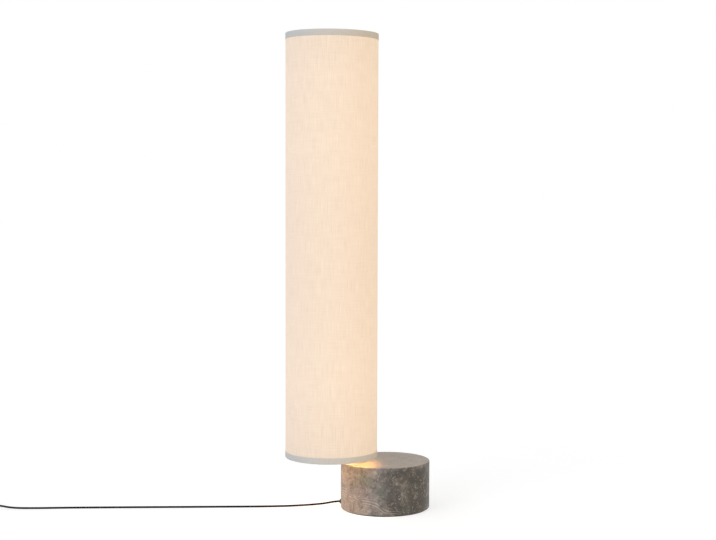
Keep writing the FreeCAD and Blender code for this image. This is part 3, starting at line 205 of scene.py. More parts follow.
def spun(profile, steps, centre, closed):
    """Turn a profile of (radius, height) points about an upright axis."""
    bm = bmesh.new()
    points = [bm.verts.new((x, 0.0, z)) for x, z in profile]
    edges = [bm.edges.new(pair) for pair in zip(points, points[1:])]
    if closed:
        edges.append(bm.edges.new((points[-1], points[0])))
    bmesh.ops.spin(bm, geom=points + edges, cent=(0, 0, 0), axis=(0, 0, 1),
                   angle=2 * math.pi, steps=steps, use_merge=True)
    bmesh.ops.remove_doubles(bm, verts=bm.verts, dist=1e-6)
    bmesh.ops.recalc_face_normals(bm, faces=bm.faces)
    bmesh.ops.translate(bm, verts=bm.verts, vec=centre)
    return bm


def unroll(bm, centre, radius, start):
    """UVs in metres of cloth: round the shade from a starting angle, and up it."""
    layer = bm.loops.layers.uv.new("cloth")
    for face in bm.faces:
        middle = face.calc_center_median() - centre
        base = (math.atan2(middle.y, middle.x) - start) % (2 * math.pi)
        for loop in face.loops:
            spot = loop.vert.co - centre
            turn = (math.atan2(spot.y, spot.x) - start) % (2 * math.pi)
            turn += 2 * math.pi * round((base - turn) / (2 * math.pi))
            out = math.hypot(spot.x, spot.y)
            loop[layer].uv = (turn * radius, spot.z + radius - out)


def shade_axis():
    """Where the shade's upright axis meets the floor."""
    low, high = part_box("shade_liner")
    return Vector(((low.x + high.x) / 2, (low.y + high.y) / 2, 0.0))


# ------------------------------------------------------------------ finishes

def weave(tree, split, apart):
    """Plain weave in metres of cloth: 1 where the thread is over, -1 where it is under."""
    waves = []
    for axis, spacing in enumerate(apart):
        wave = add(tree, "ShaderNodeMath", {"operation": "MULTIPLY", 1: math.pi / spacing},
                   {0: split.outputs[axis]})
        waves.append(add(tree, "ShaderNodeMath", {"operation": "SINE"}, {0: wave.outputs[0]}))
    return add(tree, "ShaderNodeMath", {"operation": "MULTIPLY"},
               {0: waves[0].outputs[0], 1: waves[1].outputs[0]})


def lit_linen(cloth, low, high):
    """Linen laminated on film: plain weave with slubs, lit from behind by two bulbs.

    The threads are drawn 0.9 mm apart, about twice their real spacing, so that they show.
    """
    made, tree, shader = blank_finish("linen plain weave")
    place = add(tree, "ShaderNodeUVMap", {"uv_map": "cloth"})
    split = add(tree, "ShaderNodeSeparateXYZ", links={0: place.outputs[0]})
    # slubs: thick stretches of yarn, about 2 mm wide and 50 mm long, up the shade and round it
    slubs = []
    for stretch, seed, share in (((520.0, 20.0, 1.0), 3.0, 1.3), ((17.0, 470.0, 1.0), 8.0, 0.7)):
        spread = add(tree, "ShaderNodeVectorMath", {"operation": "MULTIPLY", 1: stretch},
                     {0: place.outputs[0]})
        noise = add(tree, "ShaderNodeTexNoise", {
            "noise_dimensions": "4D", "in:W": seed, "in:Scale": 1.0, "in:Detail": 2.0,
            "in:Roughness": 0.6}, {"Vector": spread.outputs[0]})
        slubs.append(add(tree, "ShaderNodeMath", {"operation": "MULTIPLY", 1: share},
                         {0: noise.outputs["Fac"]}))
    both = add(tree, "ShaderNodeMath", {"operation": "ADD"},
               {0: slubs[0].outputs[0], 1: slubs[1].outputs[0]})
    # broad uneven density of the cloth, 25 mm across
    cloud = add(tree, "ShaderNodeTexNoise", {"in:Scale": 40.0, "in:Detail": 3.0},
                {"Vector": place.outputs[0]})
    mixed = add(tree, "ShaderNodeMath", {"operation": "MULTIPLY_ADD", 1: 0.3},
                {0: cloud.outputs["Fac"], 2: both.outputs[0]})
    density = add(tree, "ShaderNodeMapRange", {
        "in:From Min": 0.85, "in:From Max": 1.55, "in:To Min": 0.91, "in:To Max": 1.09},
        {"Value": mixed.outputs[0]})
    over_under = weave(tree, split, (cloth.yarn, cloth.yarn))
    relief = add(tree, "ShaderNodeMath", {"operation": "MULTIPLY_ADD", 1: 0.35},
                 {0: over_under.outputs[0], 2: both.outputs[0]})
    bump = add(tree, "ShaderNodeBump", {"in:Strength": 0.5, "in:Distance": 0.25 * MM},
               {"Height": relief.outputs[0]})
    threads = add(tree, "ShaderNodeMath", {"operation": "MULTIPLY_ADD", 1: 0.03},
                  {0: over_under.outputs[0], 2: density.outputs[0]})
    # glow along the height: brightest beside each bulb, weaker at both rims
    height = add(tree, "ShaderNodeMapRange", {"in:From Min": low, "in:From Max": high},
                 {"Value": split.outputs[1]})
    along = add(tree, "ShaderNodeValToRGB", links={"Fac": height.outputs[0]})
    stops(along, ((0.0, grey(0.84)), (0.05, grey(0.92)), (0.19, grey(1.0)), (0.36, grey(0.965)),
                  (0.55, grey(0.96)), (0.72, grey(0.99)), (0.90, grey(0.975)), (1.0, grey(0.90))))
    strength = add(tree, "ShaderNodeMath", {"operation": "MULTIPLY"},
                   {0: along.outputs["Color"], 1: threads.outputs[0]})
    tint = add(tree, "ShaderNodeMix", {"data_type": "RGBA", "blend_type": "MULTIPLY",
                                       "in:Factor": 1.0, 6: (*cloth.linen, 1.0)},
               {7: threads.outputs[0]})
    settle(tree, shader,
           {"Base Color": tint.outputs[2], "Normal": bump.outputs[0],
            "Emission Strength": strength.outputs[0]},
           {"Emission Color": (*cloth.glow, 1.0), "Roughness": 0.9, "Sheen Weight": 0.15,
            "Specular IOR Level": 0.2})
    return made


def woven_tape(cloth):
    """Cotton edge tape: a close plain weave, drawn a little coarser than it is so that it shows."""
    made, tree, shader = blank_finish("cotton edge tape")
    place = add(tree, "ShaderNodeUVMap", {"uv_map": "cloth"})
    split = add(tree, "ShaderNodeSeparateXYZ", links={0: place.outputs[0]})
    over_under = weave(tree, split, (0.6 * MM, 0.5 * MM))
    noise = add(tree, "ShaderNodeTexNoise", {"in:Scale": 260.0, "in:Detail": 4.0},
                {"Vector": place.outputs[0]})
    fleck = add(tree, "ShaderNodeMath", {"operation": "MULTIPLY_ADD", 1: 0.25},
                {0: over_under.outputs[0], 2: noise.outputs["Fac"]})
    tone = add(tree, "ShaderNodeMapRange", {
        "in:From Min": 0.2, "in:From Max": 0.8, "in:To Min": 0.90, "in:To Max": 1.06},
        {"Value": fleck.outputs[0]})
    tint = add(tree, "ShaderNodeMix", {"data_type": "RGBA", "blend_type": "MULTIPLY",
                                       "in:Factor": 1.0, 6: (*cloth.tape, 1.0)},
               {7: tone.outputs[0]})
    bump = add(tree, "ShaderNodeBump", {"in:Strength": 0.6, "in:Distance": 0.2 * MM},
               {"Height": fleck.outputs[0]})
    settle(tree, shader, {"Base Color": tint.outputs[2], "Normal": bump.outputs[0]},
           {"Roughness": 0.85, "Sheen Weight": 0.1, "Specular IOR Level": 0.25})
    return made


def lit_film():
    """Opal styrene film behind the linen: smooth, milky, bright from the bulbs."""
    made, tree, shader = blank_finish("opal styrene film")
    place = add(tree, "ShaderNodeTexCoord")
    noise = add(tree, "ShaderNodeTexNoise", {"in:Scale": 9.0, "in:Detail": 2.0},
                {"Vector": place.outputs["Object"]})
    tone = add(tree, "ShaderNodeValToRGB", links={"Fac": noise.outputs["Fac"]})
    stops(tone, ((0.3, linear("#efe6d8")), (0.7, linear("#f7f1e6"))))
    settle(tree, shader, {"Base Color": tone.outputs["Color"]},
           {"Roughness": 0.45, "Emission Color": (*linear("#ffe2b8"), 1.0),
            "Emission Strength": 0.35})
    return made


def lay(tree, below, tone, masks, most=1.0):
    """Lay a tone over the stone as far as every mask lets it.

    A mask is a socket, or a socket with the value where it starts and the value where it is full.
    """
    amount = None
    for mask in masks:
        if isinstance(mask, tuple):
            value, start, full = mask
            mask = add(tree, "ShaderNodeMapRange", {
                "interpolation_type": "SMOOTHSTEP", "in:From Min": start, "in:From Max": full},
                {"Value": value}).outputs[0]
        if amount is not None:
            mask = add(tree, "ShaderNodeMath", {"operation": "MULTIPLY"},
                       {0: amount, 1: mask}).outputs[0]
        amount = mask
    share = add(tree, "ShaderNodeMath", {"operation": "MULTIPLY", 1: most}, {0: amount})
    return add(tree, "ShaderNodeMix", {"data_type": "RGBA", 7: (*tone, 1.0)},
               {"Factor": share.outputs[0], 6: below}).outputs[2]


def honed_marble(stone):
    """Honed grey marble: clouds, a dark bed, a mauve bed partly painted cool against the warm light
    on the left, painted warm light low on the left and on the top, veins and specks.

    Places are in metres from the drum's axis and the floor, and across runs to the picture's
    right. The drift adds 25 mm to a place on average.
    """
    made, tree, shader = blank_finish("honed grey marble")
    place = add(tree, "ShaderNodeTexCoord")
    turned = add(tree, "ShaderNodeMapping", {"in:Rotation": (0.0, 0.0, PICTURE_TURN)},
                 {"Vector": place.outputs["Object"]})
    spot = turned.outputs[0]
    straight = add(tree, "ShaderNodeSeparateXYZ", links={0: spot})
    # slow drift of the beds, so that no cloud is round
    drift = add(tree, "ShaderNodeTexNoise", {"in:Scale": 14.0, "in:Detail": 3.0,
                                             "in:Roughness": 0.6}, {"Vector": spot})
    drifted = add(tree, "ShaderNodeVectorMath", {"operation": "MULTIPLY_ADD",
                                                 1: (0.05, 0.05, 0.05)},
                  {0: drift.outputs["Color"], 2: spot}).outputs[0]
    split = add(tree, "ShaderNodeSeparateXYZ", links={0: drifted})
    across, up = split.outputs["X"], split.outputs["Z"]

    # what the beds are broken by: noises of 45, 60, 16, 5, 26 and 22 mm
    noises = {}
    for name, vector, scale, detail, rough in (
            ("cloud", drifted, 22.0, 8.0, 0.62), ("tinge", drifted, 17.0, 3.0, 0.5),
            ("mottle", drifted, 62.0, 5.0, 0.62), ("specks", drifted, 210.0, 3.0, 0.7),
            ("patchy", spot, 38.0, 2.0, 0.5), ("fade", spot, 45.0, 1.0, 0.5)):
        noises[name] = add(tree, "ShaderNodeTexNoise", {
            "in:Scale": scale, "in:Detail": detail, "in:Roughness": rough},
            {"Vector": vector}).outputs["Fac"]
    # how much of a layer the noise leaves: from start to full, it goes from least to most
    left = {}
    for name, noise, start, full, least, most in (
            ("dark", "cloud", 0.70, 0.44, 0.5, 0.97), ("mauve", "tinge", 0.62, 0.45, 0.2, 0.65),
            ("specks", "patchy", 0.40, 0.62, 0.30, 0.85), ("pits", "specks", 0.44, 0.30, 0.0, 0.5)):
        left[name] = add(tree, "ShaderNodeMapRange", {
            "in:From Min": start, "in:From Max": full, "in:To Min": least, "in:To Max": most},
            {"Value": noises[noise]}).outputs[0]

    ground = add(tree, "ShaderNodeValToRGB", links={"Fac": noises["cloud"]})
    stops(ground, ((0.34, tuple(stone.shadow)), (0.47, tuple(stone.ground)),
                   (0.58, tuple(stone.ground)), (0.72, tuple(stone.pale))))
    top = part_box("marble_base")[1].z
    on_side = (straight.outputs["Z"], top - 0.3 * MM, top - 1.5 * MM)
    on_top = (straight.outputs["Z"], top - 1.5 * MM, top - 0.3 * MM)
    tone = lay(tree, ground.outputs["Color"], stone.green, [(noises["tinge"], 0.52, 0.70)])
    # the mauve bed takes the left half of the side, and the dark bed the right half; the mauve is
    # partly the stone's cool grey and partly painted light, a cooler tone that offsets the warm
    # light falling on the left
    tone = lay(tree, tone, stone.mauve, [(across, 0.050, 0.005), on_side, left["mauve"]])
    tone = lay(tree, tone, stone.shadow, [(across, 0.0, 0.055), (up, 0.150, 0.132), left["dark"]])
    # painted warm light: a warm tone low on the left, where the bulbs' light falls on the stone,
    # and another over the top, where the shade's light falls
    tone = lay(tree, tone, stone.warm, [(across, 0.030, -0.04), (up, 0.080, 0.040)], 0.45)
    tone = lay(tree, tone, stone.warm, [on_top], 0.65)
    # mottles some 16 mm across, dark ones on the side only
    tone = lay(tree, tone, stone.shadow, [(noises["mottle"], 0.53, 0.36), on_side], 0.50)
    tone = lay(tree, tone, stone.pale, [(noises["mottle"], 0.55, 0.70)], 0.40)

    # a bundle of veins, 8 mm apart, falls to the right in long waves through the warm bed
    fall = add(tree, "ShaderNodeMath", {"operation": "MULTIPLY_ADD", 1: 0.30},
               {0: straight.outputs["X"], 2: straight.outputs["Z"]})
    waver = add(tree, "ShaderNodeTexNoise", {"in:Scale": 14.0, "in:Detail": 1.6,
                                             "in:Roughness": 0.35}, {"Vector": spot})
    wavy = add(tree, "ShaderNodeMath", {"operation": "MULTIPLY_ADD", 1: 0.050},
               {0: waver.outputs["Fac"], 2: fall.outputs[0]}).outputs[0]
    beat = add(tree, "ShaderNodeMath", {"operation": "PINGPONG", 1: 4 * MM}, {0: wavy}).outputs[0]
    # each vein comes and goes along its length, and has a dark seam on either side
    bundle = [(wavy, 0.028, 0.034), (wavy, 0.060, 0.052), (across, 0.085, 0.035),
              (noises["fade"], 0.36, 0.58)]
    faint = 0.55
    tone = lay(tree, tone, stone.pale, [(beat, 1.7 * MM, 0.6 * MM), *bundle], faint)
    tone = lay(tree, tone, stone.shadow, [(beat, 2.6 * MM, 3.5 * MM), *bundle], 0.45 * faint)
    # calcite specks up to 5 mm across, in drifts, and dark pits between them
    tone = lay(tree, tone, stone.pale, [(noises["specks"], 0.54, 0.72), left["specks"]])
    tone = lay(tree, tone, stone.shadow, [left["pits"]])

    # honed, so the gloss is low and varies with the mineral
    gloss = add(tree, "ShaderNodeMapRange", {"in:To Min": 0.38, "in:To Max": 0.55},
                {"Value": noises["specks"]})
    bump = add(tree, "ShaderNodeBump", {"in:Strength": 0.15, "in:Distance": 0.1 * MM},
               {"Height": noises["specks"]})
    settle(tree, shader,
           {"Base Color": tone, "Roughness": gloss.outputs[0], "Normal": bump.outputs[0]},
           {"IOR": 1.49, "Specular IOR Level": 0.35})
    return made


def grained(name, tone, rough, grain, depth, metal=0.0, ior=1.46, coat=0.0):
    """A plain coloured surface with fine grain: powder coat, spark-eroded plastic or plate.

    grain is the grain's size in metres and depth the height of its relief.
    """
    made, tree, shader = blank_finish(name)
    place = add(tree, "ShaderNodeTexCoord")
    noise = add(tree, "ShaderNodeTexNoise", {"in:Scale": 1.0 / grain, "in:Detail": 3.0},
                {"Vector": place.outputs["Object"]})
    wear = add(tree, "ShaderNodeTexNoise", {"in:Scale": 30.0, "in:Detail": 4.0},
               {"Vector": place.outputs["Object"]})
    tint = add(tree, "ShaderNodeValToRGB", links={"Fac": wear.outputs["Fac"]})
    stops(tint, ((0.25, tuple(c * 0.86 for c in tone)),
                 (0.75, tuple(min(1, c * 1.1) for c in tone))))
    rougher = add(tree, "ShaderNodeMapRange", {
        "in:To Min": rough - 0.06, "in:To Max": rough + 0.08}, {"Value": noise.outputs["Fac"]})
    bump = add(tree, "ShaderNodeBump", {"in:Strength": 0.5, "in:Distance": depth},
               {"Height": noise.outputs["Fac"]})
    settle(tree, shader,
           {"Base Color": tint.outputs["Color"], "Roughness": rougher.outputs[0],
            "Normal": bump.outputs[0]}, {"Metallic": metal, "Coat Weight": coat})
    # a metal keeps the shader's own IOR
    if not metal:
        shader.inputs["IOR"].default_value = ior
    return made


def brushed(name, tone, rough, along):
    """Brushed or drawn metal whose fine lines run along one axis, 0.3 mm apart as drawn."""
    made, tree, shader = blank_finish(name)
    place = add(tree, "ShaderNodeTexCoord")
    stretch = tuple(60.0 if axis == along else 3300.0 for axis in "xyz")
    spread = add(tree, "ShaderNodeVectorMath", {"operation": "MULTIPLY", 1: stretch},
                 {0: place.outputs["Object"]})
    noise = add(tree, "ShaderNodeTexNoise", {"in:Scale": 1.0, "in:Detail": 2.0},
                {"Vector": spread.outputs[0]})
    tint = add(tree, "ShaderNodeValToRGB", links={"Fac": noise.outputs["Fac"]})
    stops(tint, ((0.3, tuple(c * 0.82 for c in tone)), (0.7, tone)))
    rougher = add(tree, "ShaderNodeMapRange", {
        "in:To Min": rough - 0.08, "in:To Max": rough + 0.1}, {"Value": noise.outputs["Fac"]})
    bump = add(tree, "ShaderNodeBump", {"in:Strength": 0.25, "in:Distance": 0.03 * MM},
               {"Height": noise.outputs["Fac"]})
    settle(tree, shader,
           {"Base Color": tint.outputs["Color"], "Roughness": rougher.outputs[0],
            "Normal": bump.outputs[0]}, {"Metallic": 1.0})
    return made


def frosted_lamp():
    """Frosted bulb, lit: the globe glows, with a slow change in the frost."""
    made, tree, shader = blank_finish("frosted lit glass")
    place = add(tree, "ShaderNodeTexCoord")
    noise = add(tree, "ShaderNodeTexNoise", {"in:Scale": 60.0},
                {"Vector": place.outputs["Object"]})
    tone = add(tree, "ShaderNodeValToRGB", links={"Fac": noise.outputs["Fac"]})
    stops(tone, ((0.3, linear("#fff0d8")), (0.7, linear("#fff6e8"))))
    settle(tree, shader, {"Base Color": tone.outputs["Color"]},
           {"Roughness": 0.5, "IOR": 1.5, "Emission Color": (*linear("#ffe6bf"), 1.0),
            "Emission Strength": 1.6})
    return made


def cord_sheath(cord):
    """Round PVC cord: satin black, with the fine grain that extrusion leaves, 1 mm as drawn."""
    made, tree, shader = blank_finish("PVC cord sheath")
    place = add(tree, "ShaderNodeTexCoord")
    noise = add(tree, "ShaderNodeTexNoise", {"in:Scale": 900.0, "in:Detail": 2.0},
                {"Vector": place.outputs["Object"]})
    tint = add(tree, "ShaderNodeValToRGB", links={"Fac": noise.outputs["Fac"]})
    stops(tint, ((0.3, tuple(c * 0.7 for c in cord.sheath)), (0.7, tuple(cord.sheath))))
    bump = add(tree, "ShaderNodeBump", {"in:Strength": 0.3, "in:Distance": 0.05 * MM},
               {"Height": noise.outputs["Fac"]})
    settle(tree, shader, {"Base Color": tint.outputs["Color"], "Normal": bump.outputs[0]},
           {"Roughness": 0.6, "IOR": 1.53, "Specular IOR Level": 0.2})
    return made


def pressed_felt():
    """Pressed wool felt: soft, dark, with short fibres 1 mm long."""
    made, tree, shader = blank_finish("pressed wool felt")
    place = add(tree, "ShaderNodeTexCoord")
    fibre = add(tree, "ShaderNodeTexNoise", {"in:Scale": 1000.0, "in:Detail": 5.0,
                                             "in:Distortion": 1.5},
                {"Vector": place.outputs["Object"]})
    tint = add(tree, "ShaderNodeValToRGB", links={"Fac": fibre.outputs["Fac"]})
    stops(tint, ((0.3, linear("#131313")), (0.7, linear("#2a2a29"))))
    bump = add(tree, "ShaderNodeBump", {"in:Strength": 0.8, "in:Distance": 0.3 * MM},
               {"Height": fibre.outputs["Fac"]})
    settle(tree, shader, {"Base Color": tint.outputs["Color"], "Normal": bump.outputs[0]},
           {"Roughness": 0.95, "Sheen Weight": 0.4})
    return made


# ------------------------------------------------------------------ the shade

# the cloth's seam stands at the back, away from the picture's side
SEAM_AT = math.radians(66.0)
# facets round the shade
SHADE_STEPS = 240


class LAMP_OT_shade_cloth(bpy.types.Operator):
    """Linen cylinder, one sheet lapped at its seam, over the film"""
    bl_idname = "lamp.shade_cloth"
    bl_label = "Shade cloth"

    def execute(self, context):
        cloth = context.scene.lamp_cloth
        low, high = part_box("shade_fabric")
        axis = shade_axis()
        radius = (high.x - low.x) / 2
        tall = high.z - low.z
        wall = 0.6 * MM
        steps_up = 48
        line = [(radius - wall / 2, low.z + tall * i / steps_up) for i in range(steps_up + 1)]
        bm = spun(line, SHADE_STEPS, axis, closed=False)
        unroll(bm, axis, radius, SEAM_AT)
        # the sheet was never perfectly tight: a slow ripple of a tenth of a millimetre, set in by
        # as much, so that no crest passes the cloth's own radius
        for vert in bm.verts:
            out = vert.co - axis
            turn = math.atan2(out.y, out.x)
            wave = math.sin(3 * turn + 9 * vert.co.z) + math.sin(7 * turn - 5 * vert.co.z)
            outward = Vector((out.x, out.y, 0.0)).normalized()
            vert.co += outward * (0.05 * wave - 0.1) * MM
        made = lit_linen(cloth, low.z, high.z)
        piece = keep("linen_cover", bm, made, "shade", ["shade_fabric"])
        skin = piece.modifiers.new("thickness", "SOLIDIFY")
        skin.thickness = wall
        skin.offset = 0.0

        # the lap at the seam: a second layer with a turned edge, between the two tapes
        under_tape = 15.5 * MM
        edge_stands, middle_stands = 0.05 * MM, 0.3 * MM
        lap = bmesh.new()
        grid = bmesh.ops.create_grid(lap, x_segments=8, y_segments=steps_up, size=0.5)
        for vert in grid["verts"]:
            turn = SEAM_AT + vert.co.x * cloth.seam / radius
            up = low.z + under_tape + (vert.co.y + 0.5) * (tall - 2 * under_tape)
            out = radius + edge_stands + middle_stands * (1.0 - (2 * abs(vert.co.x)) ** 6)
            vert.co = axis + Vector((out * math.cos(turn), out * math.sin(turn), up))
        bmesh.ops.recalc_face_normals(lap, faces=lap.faces)
        unroll(lap, axis, radius, SEAM_AT)
        seam = keep("linen_seam_lap", lap, made, "shade", [])
        lap_skin = seam.modifiers.new("thickness", "SOLIDIFY")
        lap_skin.thickness = 0.3 * MM
        lap_skin.offset = -1.0
        dress("shade_liner", lit_film())
        return {"FINISHED"}


class LAMP_OT_edge_tapes(bpy.types.Operator):
    """Woven tape folded over the rim at both ends of the shade"""
    bl_idname = "lamp.edge_tapes"
    bl_label = "Edge tapes"

    def execute(self, context):
        made = woven_tape(context.scene.lamp_cloth)
        axis = shade_axis()
        # the tape's fold reaches in to this radius, and this far along the inside
        fold_radius, fold_deep = 109.2 * MM, 2.5 * MM
        thick = 0.5 * MM
        ease = 0.9 * MM
        quarter = [math.radians(15 * i) for i in range(7)]
        for name, node in (("top_tape", "shade_top_band"), ("bottom_tape", "shade_bottom_band")):
            low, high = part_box(node)
            radius = (high.x - low.x) / 2
            deep = high.z - low.z
            # section through the tape as if its rim were at height 0 with the tape above it:
            # down the outside, which bows a little, round the rim, up the fold, and back within
            outside = [(radius - thick * 0.55, deep), (radius - 0.04 * MM, deep - 0.12 * MM),
                       (radius, deep - 0.6 * MM), (radius - 0.03 * MM, deep * 0.5)]
            outer_bend = [(radius - ease * (1 - math.cos(turn)), ease * (1 - math.sin(turn)))
                          for turn in quarter]
            inner_bend = [(fold_radius + ease * (1 - math.cos(turn)), ease * (1 - math.sin(turn)))
                          for turn in reversed(quarter)]
            floor = thick + 0.1 * MM
            path = [*outside, *outer_bend, *inner_bend, (fold_radius, fold_deep),
                    (fold_radius + thick, fold_deep), (fold_radius + thick, floor),
                    (radius - thick, floor), (radius - thick, deep)]
            flip = node == "shade_top_band"
            path = [(r, high.z - z if flip else low.z + z) for r, z in path]
            bm = spun(path, SHADE_STEPS, axis, closed=True)
            unroll(bm, axis, radius, 0.0)
            keep(name, bm, made, "shade", [node])
        return {"FINISHED"}


class LAMP_OT_shade_frame(bpy.types.Operator):
    """White wire ring, spider and its brass finial"""
    bl_idname = "lamp.shade_frame"
    bl_label = "Shade frame"

    def execute(self, context):
        hard = context.scene.lamp_hard
        # powder coat on drawn wire: orange peel about a millimetre across
        white = grained("white powder coated wire", tuple(hard.wire), 0.4, 1.0 * MM, 0.03 * MM)
        dress("shade_bottom_ring", white)
        dress("shade_spider", white)
        dress("finial_knob", brushed("brushed brass", tuple(hard.brass), 0.28, "z"))
        return {"FINISHED"}


# ------------------------------------------------------------------ the stone and the metalwork

class LAMP_OT_stone_base(bpy.types.Operator):
    """Honed marble drum and the felt under it"""
    bl_idname = "lamp.stone_base"
    bl_label = "Stone base"

    def execute(self, context):
        dress("marble_base", honed_marble(context.scene.lamp_stone))
        dress("floor_pad", pressed_felt())
        return {"FINISHED"}


class LAMP_OT_metalwork(bpy.types.Operator):
    """Stem, arms and their fastenings"""
    bl_idname = "lamp.metalwork"
    bl_label = "Metalwork"

    def execute(self, context):
        hard = context.scene.lamp_hard
        # fine black powder coat: a soft sheen and grain half a millimetre across
        black = grained("black powder coat", tuple(hard.coat), 0.5, 0.5 * MM, 0.03 * MM)
        for node in ("stem_tube", "lower_holder_arm", "upper_holder_arm", "shade_arm",
                     "lower_spreader"):
            dress(node, black)
        zinc = brushed("bright zinc plate", tuple(hard.zinc), 0.32, "z")
        for node in ("base_tie_tube", "clamp_washer", "spring_washer", "hex_nuts", "shade_stud",
                     "holder_nipples", "set_screws", "cord_stop_screw", "switch_case_screws"):
            dress(node, zinc)
        # moulded rubber: dull, with a little bloom
        rubber = grained("moulded rubber", linear("#191919"), 0.75, 0.8 * MM, 0.05 * MM, ior=1.52)
        for node in ("spreader_tips", "stem_seat_washer", "switch_feet", "switch_cord_boots"):
            dress(node, rubber)
        return {"FINISHED"}


class LAMP_OT_lampholders(bpy.types.Operator):
    """Lampholders, bulbs and their leads"""
    bl_idname = "lamp.lampholders"
    bl_label = "Lampholders and bulbs"

    def execute(self, context):
        hard = context.scene.lamp_hard
        plastic = grained("black phenolic", tuple(hard.moulded), 0.45, 0.6 * MM, 0.02 * MM,
                          ior=1.6)
        # unglazed porcelain: chalky, faint grain
        porcelain = grained("unglazed porcelain", linear("#e6e3da"), 0.7, 0.7 * MM, 0.03 * MM,
                            ior=1.5)
        brass = brushed("bright brass", tuple(hard.brass), 0.25, "z")
        cap = brushed("bulb cap aluminium", linear("#d4d4d2"), 0.3, "z")
        lead = grained("white silicone lead", linear("#dedcd6"), 0.55, 0.8 * MM, 0.03 * MM)
        glass = frosted_lamp()
        for place in ("lower", "upper"):
            dress(f"{place}_holder_cap", plastic)
            dress(f"{place}_holder_skirt", plastic)
            dress(f"{place}_holder_insert", porcelain)
            dress(f"{place}_holder_contacts", brass)
            dress(f"{place}_bulb_cap", cap)
            dress(f"{place}_bulb_glass", glass)
            dress(f"{place}_lead", lead)
            # the bulb's light is a lamp inside it, which its own glass lets through
            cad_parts[f"{place}_bulb_glass"].visible_shadow = False
        return {"FINISHED"}


# ------------------------------------------------------------------ cord, switch and plug

def floor_point(along, left, height):
    """A route point, in millimetres along the outlet's line, to its left, and up."""
    cos, sin = math.cos(OUTLET_TURN), math.sin(OUTLET_TURN)
    return Vector((along * cos - left * sin, along * sin + left * cos, height)) * MM


# the cord's route, point for point as in the part: stone to switch, switch to coil, coil to plug
TO_SWITCH = (
    (116.5, 0.0, 15.0), (126.0, 0.0, 15.0), (158.0, 0.2, 8.6), (206.0, 1.4, 4.7),
    (262.0, 4.6, 2.55), (330.0, 11.0, 2.5), (770.0, 32.0, 2.5), (838.0, 38.0, 2.5),
    (898.0, 43.0, 2.5), (946.0, 45.0, 3.4), (982.0, 46.0, 10.6), (1003.0, 46.0, 10.6),
)
TO_COIL = (
    (1123.0, 46.0, 10.6), (1139.0, 46.0, 10.6), (1158.0, 45.6, 5.2), (1178.0, 46.0, 3.6),
    (1190.0, 46.0, 3.6),
)
TO_PLUG = (
    (1190.0, 123.4, 9.1), (1178.0, 123.4, 9.1), (1163.0, 124.8, 7.2), (1157.0, 125.0, 6.85),
    (1148.0, 125.0, 6.85),
)
# the coil in millimetres: its middle, its outermost turn, the step from turn to turn, the step up
# to its second layer, the height of its first, and the share of a turn that it changes layer in
COIL_PLACE = (1195.0, 84.7)
COIL_RADIUS, COIL_PITCH, COIL_LAYER, COIL_LOW = 38.7, 5.6, 5.5, 3.6
TURN_BACK = 0.25


def coil_route(turns, each):
    """The coil: in along the floor, then out again on top, as in the part."""
    inner = COIL_RADIUS - COIL_PITCH * turns / 2
    points = []
    for i in range(round(turns * each) + 1):
        turn = i / each
        away = turn - turns / 2
        if abs(away) < TURN_BACK:
            spread = (away * away / TURN_BACK + TURN_BACK) / 2
            lift = (1 + math.sin(math.pi * away / (2 * TURN_BACK))) / 2
        else:
            spread = abs(away)
            lift = 0.0 if away < 0 else 1.0
        # a control point stands a little outside the curve that it pulls
        radius = (inner + COIL_PITCH * spread) * (1 + (math.pi / each) ** 2 / 4)
        angle = 2 * math.pi * turn - math.pi / 2
        points.append((COIL_PLACE[0] + radius * math.cos(angle),
                       COIL_PLACE[1] + radius * math.sin(angle), COIL_LOW + lift * COIL_LAYER))
    return points


def cord_piece(name, route, diameter, material, nodes):
    """A smooth round cord that follows its route's points."""
    curve = bpy.data.curves.new(name, "CURVE")
    curve.dimensions = "3D"
    spline = curve.splines.new("NURBS")
    spline.points.add(len(route) - 1)
    for point, place in zip(spline.points, route):
        point.co = (*floor_point(*place), 1.0)
    spline.order_u = 3
    spline.use_endpoint_u = True
    spline.resolution_u = 6
    curve.bevel_depth = diameter / 2
    curve.bevel_resolution = 4
    curve.use_fill_caps = True
    curve.materials.append(material)
    piece = put(name, curve)
    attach(piece, "lamp")
    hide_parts(*nodes)
    return piece


class LAMP_OT_cords(bpy.types.Operator):
    """Cord from the stone to the foot switch, and on through the coil to the plug"""
    bl_idname = "lamp.cords"
    bl_label = "Cords"

    def execute(self, context):
        cord = context.scene.lamp_cord
        sheath = cord_sheath(cord)
        first = cord_piece("cord_from_base", TO_SWITCH, cord.diameter, sheath,
                           ["cord_to_switch"])
        route = [*TO_COIL, *coil_route(cord.coil_turns, cord.coil_points), *TO_PLUG]
        second = cord_piece("cord_to_plug_end", route, cord.diameter, sheath,
                            ["cord_to_coil", "cord_coil", "cord_to_plug"])
        dress("inner_cord", sheath)
        dress("coil_tie", sheath)
        return {"FINISHED"}


